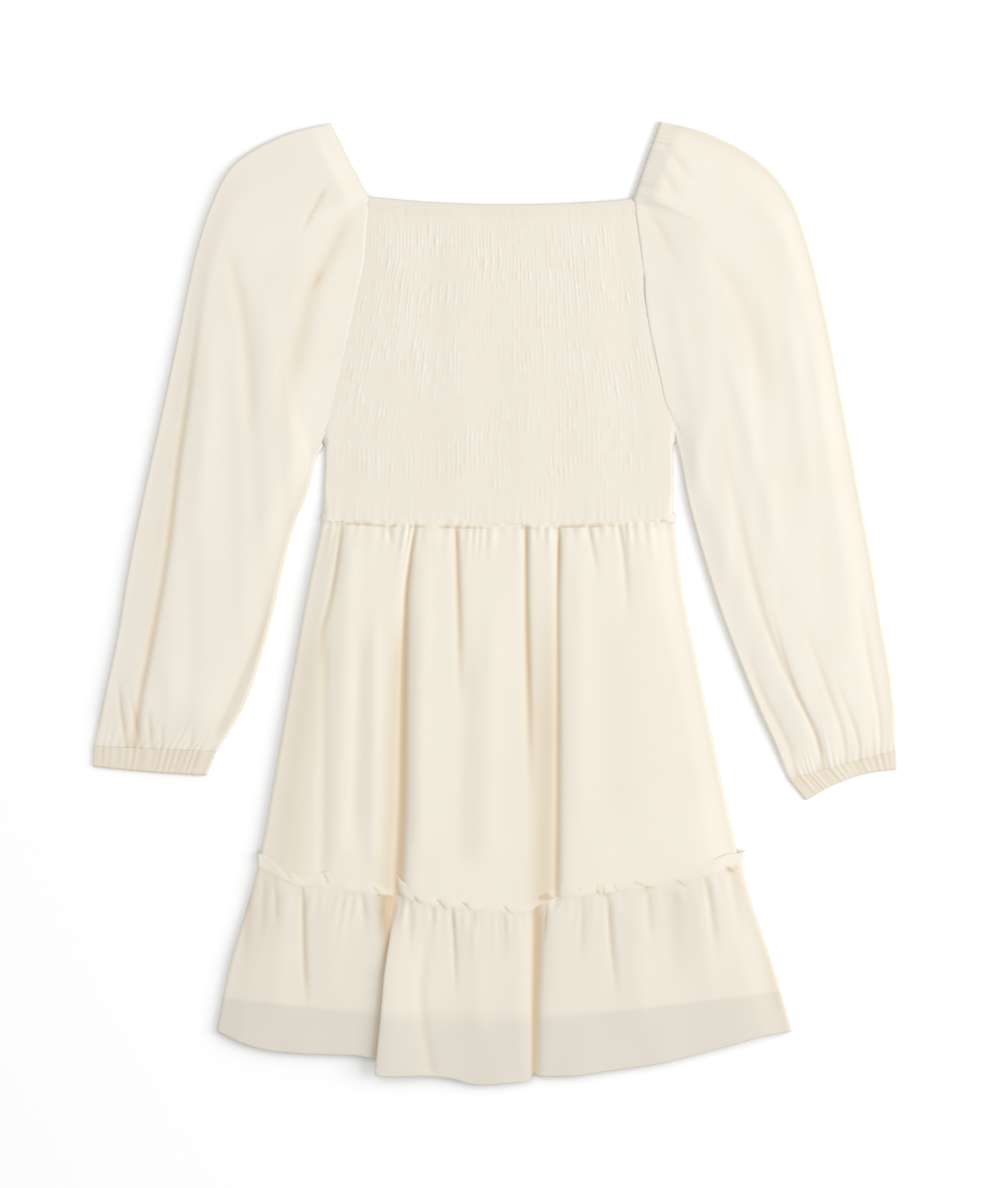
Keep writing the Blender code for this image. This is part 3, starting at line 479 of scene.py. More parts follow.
# Each sleeve with its cuff: the hand is its side, the bow lifts the cuff's foot between its
# corners, and below the lap's top the sleeve rolls over the bodice. The left one doesn't.
Sleeve = namedtuple(
    "Sleeve", "side sections armhole creases cuff_foot cuff_bow hand roll lap_top neck_gather seed"
)
LEFT_CUFF_FOOT = SleeveSection(-290.0, -118.0, -208.4, -124.4)
RIGHT_CUFF_FOOT = SleeveSection(290.0, -120.3, 224.2, -142.6)
SLEEVES = rows(
    Sleeve,
    ("left", LEFT_SLEEVE, LEFT_ARMHOLE, LEFT_FOLDS, LEFT_CUFF_FOOT, -0.8, -1.0, 0.0, -400.0, 0.3, 71),
    ("right", RIGHT_SLEEVE, RIGHT_ARMHOLE, RIGHT_FOLDS, RIGHT_CUFF_FOOT, 5.4, 1.0, 4.4, 256.0, 0.9, 91),
)


# Curves and patterns


def smooth_step(value):
    """Rises from 0 to 1 with level ends: 3t^2 - 2t^3 of the value held between 0 and 1."""
    held = np.clip(value, 0.0, 1.0)
    return held * held * (3.0 - 2.0 * held)


def rounded(from_side, reach):
    """A quarter ellipse from 0 to 1: steep at the side, level past the reach."""
    return np.sqrt(1.0 - (1.0 - np.clip(from_side / reach, 0.0, 1.0)) ** 2)


def bell(away, width):
    """A bell of height 1: e to the power of minus the square of away over width."""
    return np.exp(-((away / width) ** 2))


def mix(first, second, share):
    """The value a share of the way from the first to the second."""
    return first + (second - first) * share


def side_distance(share, width=1.0):
    """How far a share of the width lies from the nearer side."""
    return np.minimum(share, 1.0 - share) * width


def row_of(count, first=0.0, last=1.0):
    """Even values from the first to the last along one row of a grid."""
    return np.linspace(first, last, count)[None, :]


def column_of(count):
    """Even shares from 0 to 1 down one column of a grid."""
    return np.linspace(0.0, 1.0, count)[:, None]


def points_of(x, y, z):
    """A grid of points. Each coordinate is a whole grid, a row, a column or one number."""
    return np.stack(np.broadcast_arrays(x, y, z), axis=-1)


def named_column(table, name):
    """One named column of a table, as an array."""
    return np.array([getattr(row, name) for row in table], dtype=float)


def curve_through(knots, values, at):
    """A cubic Hermite curve through the values at the knots. Its slope at a knot is the harmonic
    mean of those beside it, or level where they turn, so it never swings past a value."""
    steps = np.diff(values) / np.diff(knots)
    before, after = steps[:-1], steps[1:]
    same = before * after > 0
    total = np.where(same, before + after, 1.0)
    slope = np.concatenate([steps[:1], np.where(same, 2 * before * after / total, 0), steps[-1:]])
    place = np.clip(np.searchsorted(knots, at, side="right") - 1, 0, len(knots) - 2)
    span = (knots[1:] - knots[:-1])[place]
    part = np.clip((at - knots[place]) / span, 0.0, 1.0)
    lean = part * (1 - part) ** 2 * slope[place] - part**2 * (1 - part) * slope[place + 1]
    return mix(values[place], values[place + 1], smooth_step(part)) + span * lean


def table_curve(table, key, name, at):
    """A named column as a smooth curve over another column."""
    return curve_through(named_column(table, key), named_column(table, name), at)


def even_curve(table, name, share):
    """A named column as a smooth curve over shares of the table's length."""
    return curve_through(np.linspace(0.0, 1.0, len(table)), named_column(table, name), share)


def uneven(at, seed):
    """Values from 0 to 1 that wander along a line: a fixed draw for each whole number, joined by
    smooth steps."""
    draws = np.random.default_rng(seed).random(LINE_DRAWS)
    whole = np.floor(at).astype(int)
    return mix(draws[whole % LINE_DRAWS], draws[(whole + 1) % LINE_DRAWS], smooth_step(at - whole))


def uneven_field(across, down, seed):
    """Values from -1 to 1 that wander over a sheet: a fixed draw for each whole pair of numbers,
    joined by smooth steps both ways."""
    draws = np.random.default_rng(seed).uniform(-1.0, 1.0, (FIELD_DRAWS, FIELD_DRAWS))
    left = np.floor(across).astype(int)
    top = np.floor(down).astype(int)
    upper, lower = (
        mix(
            draws[row % FIELD_DRAWS, left % FIELD_DRAWS],
            draws[row % FIELD_DRAWS, (left + 1) % FIELD_DRAWS],
            smooth_step(across - left),
        )
        for row in (top, top + 1)
    )
    return mix(upper, lower, smooth_step(down - top))


def puckers(across, count, seed):
    """Small folds along a seam: a wave of uneven width, with a height and a reach drawn for each."""
    place = across * count + 1.2 * uneven(across * count * 0.5, seed)
    number = np.floor(place).astype(int) % PUCKER_DRAWS
    draw = np.random.default_rng(seed + 1)
    heights = draw.uniform(0.25, 1.0, PUCKER_DRAWS)[number]
    reaches = draw.uniform(0.3, 1.3, PUCKER_DRAWS)[number]
    return 0.5 - 0.5 * np.cos(2 * np.pi * place), heights, reaches


def between_puckers(across, count, seed):
    """1 in the hollows between the small folds, 0 on them."""
    return 1.0 - puckers(across, count, seed)[0]


def gathers(across, below, count, length, seed):
    """Height of the small folds beside a line of stitches, from 0 to 1. Each swells just past the
    stitches and dies away over its own reach."""
    wave, heights, reaches = puckers(across, count, seed)
    return wave * heights * smooth_step(below / 3.0 + 0.25) * bell(below, length * reaches)


def dashes(across, count, seed):
    """A share from 0 to 1 that comes and goes along a seam, for marks that are not drawn through."""
    return smooth_step((uneven(across * count, seed) - 0.35) / 0.3)


def pressed(folds, x, y):
    """Depth of the folds and their painted shade at each point: over each line a narrow bell on a wide
    soft one, square to the line, that comes and goes towards its ends."""
    depth, tone = np.zeros(x.shape), np.zeros(x.shape)
    for fold in folds:
        line = np.array(fold.line, dtype=float)[::-1]
        lowest, highest = line[0, 1], line[-1, 1]
        at = curve_through(line[:, 1], line[:, 0], np.clip(y, lowest, highest))
        slope = (line[-1, 0] - line[0, 0]) / (highest - lowest)
        width = mix(fold.width_top, fold.width_foot, (highest - y) / (highest - lowest))
        away = (x - at) / (np.maximum(width, 0.5) * np.hypot(1.0, slope))
        reach = smooth_step((highest - y) / fold.fade_in) if fold.fade_in else 1.0
        if fold.fade_out:
            reach = reach * smooth_step((y - lowest) / fold.fade_out)
        depth = depth + fold.depth * reach * mix(bell(away, 1.0), bell(away, 2.4), 0.25)
        tone = tone + fold.tone * reach * mix(bell(away, 1.0), bell(away, 2.2), 0.15)
    return depth, np.clip(tone, 0.0, 1.0)


def spared(depth, scale):
    """What a fold leaves of the small forms it presses on, from 1 down to 0."""
    return np.exp(-np.maximum(depth, 0.0) / scale)


def crowned(crown, depth):
    """What the folds leave of a crown: it never falls below the layer it lies on."""
    left = crown * spared(depth, np.maximum(crown, 0.05))
    return left + np.maximum(-depth, 0.0) * (crown > 0)


def waist_line(across):
    """The waist seam sags a little between the sides."""
    return WAIST_Y + WAIST_SAG * (1.0 - 2.0 * np.sin(np.pi * np.clip(across, 0.0, 1.0)))


# Cloth objects


def new_object(name, mesh):
    """An object in the scene for a mesh."""
    item = bpy.data.objects.new(name, mesh)
    bpy.context.scene.collection.objects.link(item)
    return item


def make_sheet(name, grid, wall, closed=False, fold=None, sheer=None):
    """Makes a grid of points into a cloth object. Its UV map runs along the cloth in metres. Its fold
    attribute says how much painted shade each point takes, and its attribute for the unlined tier says
    whether the lining is missing behind it."""
    rows_down, columns, _ = grid.shape
    points = (grid - MIDDLE) * MM
    stop = columns if closed else columns - 1
    lines = np.arange(rows_down - 1)[:, None] * columns
    here = lines + np.arange(stop)[None, :]
    following = lines + (np.arange(stop)[None, :] + 1) % columns
    faces = np.stack([here, here + columns, following + columns, following], axis=-1)
    mesh = bpy.data.meshes.new(name)
    mesh.from_pydata(points.reshape(-1, 3), [], faces.reshape(-1, 4).tolist())
    step_across = np.linalg.norm(np.diff(points, axis=1), axis=2)
    step_down = np.linalg.norm(np.diff(points, axis=0), axis=2)
    u = np.concatenate([np.zeros((rows_down, 1)), np.cumsum(step_across, axis=1)], axis=1)
    v = np.concatenate([np.zeros((1, columns)), np.cumsum(step_down, axis=0)], axis=0)
    u = u - u.mean(axis=1, keepdims=True)
    loops = np.empty(len(mesh.loops), dtype=np.int32)
    mesh.loops.foreach_get("vertex_index", loops)
    both = np.stack([u.ravel()[loops], v.ravel()[loops]], axis=1)
    mesh.uv_layers.new(name="cloth").uv.foreach_set("vector", both.astype(np.float32).ravel())
    for label, values in (("fold", fold), ("sheer", sheer)):
        if values is not None:
            kept = mesh.attributes.new(label, "FLOAT", "POINT")
            whole = np.broadcast_to(values, (rows_down, columns)).astype(np.float32)
            kept.data.foreach_set("value", whole.ravel())
    mesh.shade_smooth()
    item = new_object(name, mesh)
    shell = item.modifiers.new("Wall", "SOLIDIFY")
    shell.thickness = wall * MM
    shell.offset = 0.0
    shell.use_quality_normals = True
    return item


def turn_front_up(mesh, above=0.0):
    """Turns a mesh round if its faces higher than this height, in metres, point down."""
    centre = np.empty(len(mesh.polygons) * 3, dtype=np.float32)
    normal = np.empty(len(mesh.polygons) * 3, dtype=np.float32)
    mesh.polygons.foreach_get("center", centre)
    mesh.polygons.foreach_get("normal", normal)
    upper = centre.reshape(-1, 3)[:, 2] > above
    if normal.reshape(-1, 3)[upper, 2].sum() < 0:
        mesh.flip_normals()


def make_cloth(node, grid, wall, material, closed=False, fold=None, sheer=None):
    """Makes the cloth of one solid: a sheet, or a closed tube, with its material and its place in
    the frame."""
    item = make_sheet(f"{node}_cloth", grid, wall, closed, fold, sheer)
    turn_front_up(item.data, (TUBE_FOLD_MID + GAP) * MM if closed else 0.0)
    item.data.materials.append(material)
    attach(item, "root")
    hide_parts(node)


def add_stitches(name, line, node):
    """Sews along a line: each stitch is a short thread of four sides, bowed a little upwards, from
    one hole to the next."""
    steps = np.linalg.norm(np.diff(line, axis=0), axis=1)
    along = np.concatenate([[0.0], np.cumsum(steps)])
    count = int(along[-1] / STITCH_PITCH)
    part = np.linspace(0.0, STITCH_SHARE, STITCH_RINGS)
    at = ((np.arange(count) + 0.15) * STITCH_PITCH)[:, None] + part[None, :] * STITCH_PITCH
    centre = np.stack([np.interp(at, along, line[:, axis]) for axis in range(3)], axis=-1)
    bow = STITCH_BOW * np.sin(np.pi * part / STITCH_SHARE)
    centre[..., 2] = centre[..., 2] + bow + STITCH_LIFT
    turn = np.radians([45.0, 135.0, 225.0, 315.0])
    radius = STITCH_RADIUS * np.array([0.5, 1.0, 1.0, 1.0, 0.5])[None, :, None]
    points = np.repeat(centre[:, :, None, :], 4, axis=2)
    points[..., 1] = points[..., 1] + radius * np.cos(turn)
    points[..., 2] = points[..., 2] + radius * np.sin(turn)
    first = np.arange(count)[:, None] * 4 * STITCH_RINGS
    base = first[:, :, None] + np.arange(STITCH_RINGS - 1)[None, :, None] * 4
    corner = np.arange(4)[None, None, :]
    following = (corner + 1) % 4
    sides = np.stack([base + corner, base + corner + 4, base + following + 4, base + following], axis=-1)
    last = first + 4 * STITCH_RINGS - 1 - np.arange(4)[None, :]
    faces = np.concatenate([sides.reshape(-1, 4), first + np.arange(4)[None, :], last])
    mesh = bpy.data.meshes.new(name)
    mesh.from_pydata(((points - MIDDLE) * MM).reshape(-1, 3), [], faces.tolist())
    mesh.shade_smooth()
    mesh.materials.append(stitch_thread())
    item = new_object(name, mesh)
    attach(item, "root")
    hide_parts(node)


# Panels of the skirt and the tier


def panel_x(sections, across, down):
    """Where a grain line lies: even between the deep folds, whose lines the sections give."""
    x = table_curve(sections, "down", "left", down) + 0.0 * across
    for first, second in zip(LANDMARKS[:-1], LANDMARKS[1:]):
        low, high = getattr(GRAIN, first), getattr(GRAIN, second)
        part = np.clip((across - low) / (high - low), 0.0, 1.0)
        start = table_curve(sections, "down", first, down)
        stop = table_curve(sections, "down", second, down)
        x = x + part * (stop - start)
    return x


def panel_height(across, width, crown):
    """Height of a front panel: its sides turn down to the back, and between them it lies on the
    lining under its crown."""
    from_side = side_distance(across, width)
    side = mix(rounded(from_side, SIDE_ROUND), smooth_step(from_side / 18.0), 0.3)
    rise = crown * mix(side, smooth_step(from_side / SIDE_SLOPE), 0.5)
    return mix(SIDE_SEAM_MID, FRONT_MID, side) + rise


def turned_rim_shade(across, width):
    """Painted shade at the right side, where the cloth turns down towards the light."""
    return RIM_SHADE * bell((1.0 - across) * width, 3.6)


def panel_columns(count):
    """Shares of the width, closest together where the cloth laps over itself and turns down."""
    even = np.linspace(0.0, 1.0, count)
    lap = GRAIN.groove + LAP_SHARE * np.linspace(-1.0, 1.0, count // 6)
    away = even[np.abs(even - GRAIN.groove) > LAP_SHARE * 1.0125]
    side = SIDE_SHARE * np.array([0.12, 0.28, 0.5, 0.75])
    return np.sort(np.concatenate([away, lap, side, 1.0 - side]))[None, :]


def skirt_surface(folds, across, down):
    """The skirt front: x by the grain, y from the waist to the tier seam, and z the crown that
    the folds and the waist gathers leave."""
    x = panel_x(SKIRT_SECTIONS, across, down)
    width = x[:, -1:] - x[:, :1]
    seam = table_curve(TIER_SEAM, "across", "y", across)
    y = mix(waist_line(across) - GAP, seam, down)
    below = waist_line(across) - y
    depth, tone = pressed(SKIRT_FOLDS, x, y)
    waves = gathers(across, below, folds.waist_gathers, WAIST_REACH, seed=11)
    soft = 0.3 * uneven_field(x / SWELL_SPACING, below / 90.0, seed=5) * smooth_step(below / 40.0)
    crown = folds.skirt_crown / MM * smooth_step(below / 11.0 + 0.12)
    small = (folds.gather_rise / MM * waves + soft) * spared(depth, FOLD_REACH)
    height = panel_height(across, width, crowned(crown, depth) + small)
    # Painted shade at the waist seam, in the hollows between the gathers, in dashes
    seam_shade = bell(below, 3.0) * between_puckers(across, folds.waist_gathers, seed=11)
    tone = tone + 0.35 * seam_shade * dashes(across, 40.0, seed=17) + turned_rim_shade(across, width)
    return points_of(x, y, height), np.clip(tone, 0.0, 1.0)


def tier_surface(folds, across, down, skirt_foot):
    """The hem tier: like the skirt, but its middle laps to the left over its neighbour. At the
    seam it has the heights of the skirt's foot."""
    x = panel_x(TIER_SECTIONS, across, down)
    width = x[:, -1:] - x[:, :1]
    seam = table_curve(TIER_SEAM, "across", "y", across)
    hem = table_curve(FRONT_HEM, "across", "y", across)
    flare = HEM_FLARE * uneven_field(across * 26.0, 0.0 * across, seed=77) * smooth_step(down)
    y = mix(seam, hem, down) - GAP + flare
    below = seam - y
    depth, tone = pressed(TIER_FOLDS, x, y)
    mark_depth, mark_tone = pressed(TIER_MARKS, x, y)
    depth = depth + mark_depth
    waves = gathers(across, below, folds.tier_gathers, TIER_REACH, seed=23)
    flutter = 0.5 * uneven_field(x / 20.0, below / 70.0, seed=9) * down
    crown = folds.tier_crown / MM * mix(1.0, 0.45, down)
    small = (folds.gather_rise / MM * waves + flutter) * spared(depth, FOLD_REACH)
    height = crowned(crown, depth) + small
    lapping = smooth_step(down / 0.5)
    past = (x - panel_x(TIER_SECTIONS, GRAIN.groove + 0.0 * down, down)) / LAP_SPREAD
    # A painted shadow beside the lap's edge, wider near the seam
    opening = bell(below, 22.0)
    groove = bell(past + 1.0 + 0.5 * opening, mix(0.9, 2.4, opening)) * (past < 1.0)
    height = height * (1.0 - mix(1.0, 0.3, smooth_step(below / 30.0)) * bell(past, 1.3))
    x = x - LAP_REACH * lapping * past * np.exp(0.5 - past**2 / 2)
    flank = 0.5 + 0.5 * np.tanh(1.3 * past)
    lift = LAP_RISE * flank * bell(np.maximum(past, 0.0), 9.0) + LAP_LIFT * np.exp(-(past**2) / 6.0)
    z = panel_height(across, width, height) + lapping * lift
    z = mix(skirt_foot, z, smooth_step(below / 14.0))
    # Painted shade at the tier seam, in the hollows between the gathers, in dashes
    seam_shade = bell(below, 4.0) * between_puckers(across, folds.tier_gathers, seed=23)
    # Painted shade of the folds and the marks, the painted shadow beside the lap, and painted shade at
    # the right rim
    tone = tone + 1.5 * mark_tone + groove + turned_rim_shade(across, width)
    tone = tone + 0.3 * seam_shade * dashes(across, 56.0, seed=29)
    return points_of(x, y, z), np.clip(tone, 0.0, 1.0)


def unlined(x, y):
    """1 where the tier hangs below the foot of the lining, 0 above it. The line between is softer
    in the middle, where the lining lies deeper."""
    edge = np.array(LINING_LINE, dtype=float)
    lining_y = curve_through(edge[:, 0], edge[:, 1], x)
    softness = 3.5 + 22.0 * bell(x + 25.0, 60.0)
    return smooth_step((lining_y - y) / softness + 0.5)


# Headings


def heading_surface(heading, foot, over):
    """A ruffled heading above a line of stitches. It leaves the cloth at the foot points, and lies over
    the panel above, whose height is given. Its small folds lean, and painted shade lies in dashes in
    their creases and along the stitches. The free edge sways along the seam and stands out a little at
    both ends."""
    across, up = row_of(foot.shape[0]), column_of(HEADING_ROWS)
    count, seed = heading.count, heading.seed
    wave, heights, _ = puckers(across + heading.skew * up, count, seed)
    swell = wave * heights
    tall = heading.height * (0.72 + 0.45 * uneven(across * count * 0.8, seed + 2))
    sway = heading.curl * (2.0 * uneven(across * count * 1.1, seed + 5) - 1.0)
    stitch = heading.curl * (uneven(across * count * 1.6, seed + 7) - 0.5)
    end_left = heading.end_left * bell(across * count, 0.8)
    end_right = heading.end_right * bell((1.0 - across) * count, 0.8)
    x = foot[None, :, 0] + sway * up**1.4 + (end_right - end_left) * up
    y = foot[None, :, 1] + stitch * (1.0 - 0.5 * up) + tall * up * (1.0 - 0.1 * swell)
    puff = heading.rise * swell * np.sin(np.pi * up**0.7) ** 1.6
    resting = over[None, :] + mix(0.35, -heading.sink, up**1.4)
    z = mix(foot[None, :, 2] - GAP, resting + puff, smooth_step(up / heading.climb))
    # Painted shade along the stitches and deep between the folds, in dashes
    level = 0.05 + 0.12 * uneven(across * count * 2.2, seed + 11)
    along_seam = bell(up - level, 0.15) * (0.3 + 0.7 * (1.0 - swell))
    between = 0.45 * (1.0 - wave) ** 6 * bell(up - 0.2, 0.2)
    dark = dashes(across, count * 1.3, seed + 9) * np.maximum(along_seam, between)
    return points_of(x, y, z), np.clip(0.05 + heading.crease * dark, 0.0, 1.0)


def waist_seam_shade(skirt_tone):
    """Painted shade where the skirt's folds run into the waist heading: a dark nick on each fold, and a
    bar of shade along the stitches beside it."""
    up = column_of(HEADING_ROWS)
    nick = np.clip(2.2 * (skirt_tone - 0.35), 0.0, 1.0)
    bar = np.max([np.roll(nick, move) for move in range(-6, 7)], axis=0)[None, :]
    return 0.9 * np.maximum(nick[None, :] * (1.0 - up) ** 2.5, bar * bell(up - 0.08, 0.15))


def tier_heading_foot(seam):
    """Where the tier heading is sewn on: under the seam, by a flat bell lower around its middle."""
    foot = seam.copy()
    middle = np.exp(-(((foot[:, 0] - HEADING_MIDDLE_X) / HEADING_MIDDLE_HALF) ** 4))
    foot[:, 1] = foot[:, 1] - GAP - HEADING_DROP - HEADING_MIDDLE_DROP * middle
    return foot


def bend_heading(grid):
    """Draws the free edge of the tier heading out beside the deep fold, by a bell for each bend."""
    up = column_of(HEADING_ROWS)
    shares = [bell(grid[..., 0] - bend.x, bend.width) * up for bend in HEADING_BENDS]
    for bend, share in zip(HEADING_BENDS, shares):
        grid[..., 0] = grid[..., 0] + bend.move_x * share
        grid[..., 1] = grid[..., 1] + bend.move_y * share
    return grid


def pleat_shade_mask(x, y):
    """Painted shade in the small corner of the tier heading at the pleat: a triangle with soft sides."""
    inside_left = smooth_step((x - PLEAT_CORNER.left) / 1.2)
    inside_foot = smooth_step((y - PLEAT_CORNER.foot) / 1.4)
    slope_y = PLEAT_CORNER.top - PLEAT_CORNER.slope * (x - PLEAT_CORNER.left)
    return inside_left * inside_foot * smooth_step((slope_y - y) / 1.6)


# Bodice


def bodice_plan(across, y_line):
    """Where bodice points lie: the sides by the section table, and a neckline that dips in a
    shallow arc."""
    section_y = named_column(BODICE_SECTIONS, "y")
    left = np.interp(y_line, section_y, named_column(BODICE_SECTIONS, "left"))
    right = np.interp(y_line, section_y, named_column(BODICE_SECTIONS, "right"))
    arc = 1.0 - (2.0 * across - 1.0) ** 2
    near_neck = smooth_step((y_line - (NECK_Y - 4 * CASING)) / (4 * CASING))
    dip = NECK_DIP * arc - NECK_TILT * (1.0 - across) ** 3
    return mix(left, right, across), y_line - dip * near_neck, right - left


def bodice_inside(across, y_line, width):
    """Height of the bodice front's inside: on the back, turned down at its sides, and climbing
    to the skirt's height at the waist."""
    climb = smooth_step((SMOCKING_FOOT_Y - y_line) / (SMOCKING_FOOT_Y - WAIST_Y))
    middle = mix(EDGE_MID + GAP, FRONT_MID, climb) - CAD_WALL / 2
    above_armpit = smooth_step((y_line - ARMPIT_Y) / 10.0)
    side_seam = mix(SIDE_SEAM_MID, EDGE_MID + GAP, above_armpit) - CAD_WALL / 2
    return mix(side_seam, middle, rounded(side_distance(across, width), mix(SIDE_ROUND, 6.0, climb)))


def smocking(folds, across, y_line, width):
    """Relief of the smocking from 0 to 1, and how much painted shade lies in its hollows. Between two
    rows of elastic the cloth stands in short upright ticks of their own heights. Some run on over a few
    rows, and whole patches lie nearly plain."""
    row = (SMOCKING_TOP_Y - y_line) / (SMOCKING_TOP_Y - SMOCKING_FOOT_Y) * folds.smocking_rows
    ragged = 1.6 * uneven_field(across * 22.0, 0.0 * row, seed=6)
    inside = smooth_step(row / 1.2) * smooth_step((folds.smocking_rows - row + ragged) / 1.4)
    inside = inside * smooth_step(side_distance(across, width) / 5.0)
    between = 0.2 + 0.8 * np.abs(np.sin(np.pi * row)) ** 0.7
    place = across * folds.smocking_columns + 0.3 * uneven_field(across * 14.0, row * 0.5, seed=3)
    puff = np.abs(np.cos(np.pi * place)) ** 1.3
    number = np.floor(place + 0.5).astype(int) % TICK_DRAWS
    line = np.floor(row).astype(int) % ROW_DRAWS
    long_line = np.floor(row / 3.0 + 0.37 * number).astype(int) % ROW_DRAWS
    draws = np.random.default_rng(12).random((ROW_DRAWS, TICK_DRAWS))
    short = draws[line, number] ** 2.5
    long = draws[long_line, number * 5 % TICK_DRAWS] ** 3
    patch = smooth_step(0.55 + 0.7 * uneven_field(across * 7.0, row * 0.4, seed=8))
    relief = inside * between * (0.1 + 0.9 * puff * (0.6 * short + 0.4 * long) * patch)
    hollow_shade = inside * (1.0 - puff) * draws[line, number * 3 % TICK_DRAWS] ** 6
    return relief, hollow_shade * (0.3 + 0.7 * patch)


def bodice_surface(folds, lines):
    """The bodice front: its inside, a wall, the smocking's relief, the casing at the neckline, and
    small gathers at the waist. Its sides run on under the sleeves above the armpits."""
    tuck = TUCK * smooth_step((lines - ARMPIT_Y + 2.0) / 6.0)
    tuck = tuck * (1.0 + 1.6 * bell(lines - ARMPIT_Y - 5.0, 9.0))
    across = row_of(BODICE_COLUMNS)
    _, _, width = bodice_plan(across, lines)
    across = across * (1.0 + 2.0 * tuck / width) - tuck / width
    x, y, width = bodice_plan(across, lines)
    under = np.maximum(np.maximum(-across, across - 1.0), 0.0) * width
    y = y + (waist_line(across) - WAIST_Y) * smooth_step((SMOCKING_TOP_Y - lines) / 150.0)
    relief, hollow_shade = smocking(folds, across, lines, width)
    above = lines - SMOCKING_TOP_Y
    casing = 0.15 * smooth_step(above / 3.0) - 0.7 * smooth_step((lines - NECK_Y + 4.0) / 4.0)
    pucker, heights, _ = puckers(across, CASING_PUCKERS, seed=31)
    dimple = pucker * heights**2 * dashes(across, 30.0, seed=33) * bell(above - 2.0, 4.0)
    into_waist = gathers(across, lines - WAIST_Y, BODICE_FOOT_GATHERS, BODICE_FOOT_REACH, seed=37)
    into_waist = into_waist * (lines < SMOCKING_FOOT_Y)
    swell = 0.5 * uneven_field(x / SWELL_SPACING, lines / 120.0, seed=41)
    swell = swell * smooth_step((NECK_Y - lines) / 40.0)
    swell = swell * smooth_step(side_distance(across, width) / 20.0)
    rise = folds.smocking_rise / MM * relief + casing + 0.3 * into_waist - 0.25 * dimple
    outside = bodice_inside(across, lines, width) + CAD_WALL - folds.wall / MM / 2
    z = outside + rise + swell - 0.16 * under
    # Painted shade: a little all over, more along the neck edge, in the smocking's hollows and in the
    # casing's dimples; the tops of the puffs are painted lighter
    ground = 0.1 + 0.06 * bell(NECK_Y - lines, 12.0) + 0.1 * bell(NECK_Y - lines, 1.6)
    fold = ground - 0.12 * relief + 0.3 * hollow_shade + 0.18 * dimple
    return points_of(x, y, z), np.clip(fold, 0.0, 1.0)


# Sleeves and cuffs


def armhole_shares(armhole):
    """Where the armhole's points lie, as shares of its length."""
    steps = np.hypot(np.diff(named_column(armhole, "x")), np.diff(named_column(armhole, "y")))
    along = np.concatenate([[0.0], np.cumsum(steps)])
    return along / along[-1]


def sleeve_plan(sections, armhole, share, down):
    """Lays sleeve points out: straight across each section, bent to the line of the neck edge
    and the armhole near the top. The bend softens as it fades."""
    knots = armhole_shares(armhole)
    rounding = smooth_step(down / BEND_SOFTNESS)
    fade = np.clip(1.0 - down / 0.3, 0.0, 1.0) ** 2
    places = []
    for axis in ("x", "y"):
        outer, inner = f"outer_{axis}", f"inner_{axis}"
        straight = mix(even_curve(sections, outer, down), even_curve(sections, inner, down), share)
        values = named_column(armhole, axis)
        chord = mix(getattr(sections[0], outer), getattr(sections[0], inner), share)
        sharp = np.interp(share, knots, values) - chord
        moves = np.linspace(-BEND_SPREAD, BEND_SPREAD, 9)
        spread = np.mean([np.interp(share + move, knots, values) for move in moves], axis=0)
        soft = (spread - chord) * smooth_step(side_distance(share) / BEND_SPREAD)
        places.append(straight + mix(sharp, soft, rounding) * fade)
    return places


def tube_inset(folds, width):
    """Share of a tube's width that the half round at its side takes up."""
    return ((TUBE_FOLD_MID - TUBE_BACK_MID) / 2 + folds.wall / MM / 2) / width


def tube_surface(front_x, front_y, front_z, back_x, back_y, back_rise):
    """Closes a front wall with a flat back wall and a half round at each fold, which bulges
    square to the fold's own line."""
    radius = (TUBE_FOLD_MID - TUBE_BACK_MID) / 2
    turn = np.radians(row_of(ROUND_COLUMNS, 20.0, 160.0))
    parts = [np.stack([front_x, front_y, front_z], axis=-1)]
    for side, order in ((-1, 1), (0, -1)):
        fold_x, fold_y = front_x[:, side], front_y[:, side]
        along = np.hypot(np.gradient(fold_x), np.gradient(fold_y))
        hand = order * np.sign(fold_x[-1])
        out_x = hand * np.gradient(fold_y) / along
        out_y = -hand * np.gradient(fold_x) / along
        x = fold_x[:, None] + radius * out_x[:, None] * np.sin(turn)
        y = fold_y[:, None] + radius * out_y[:, None] * np.sin(turn)
        z = TUBE_BACK_MID + radius * (1.0 + np.cos(turn)) + 0.0 * x
        parts.append(np.stack([x, y, z[:, ::order]], axis=-1))
    parts.insert(2, np.stack([back_x, back_y, TUBE_BACK_MID + back_rise], axis=-1))
    return np.concatenate(parts, axis=1)


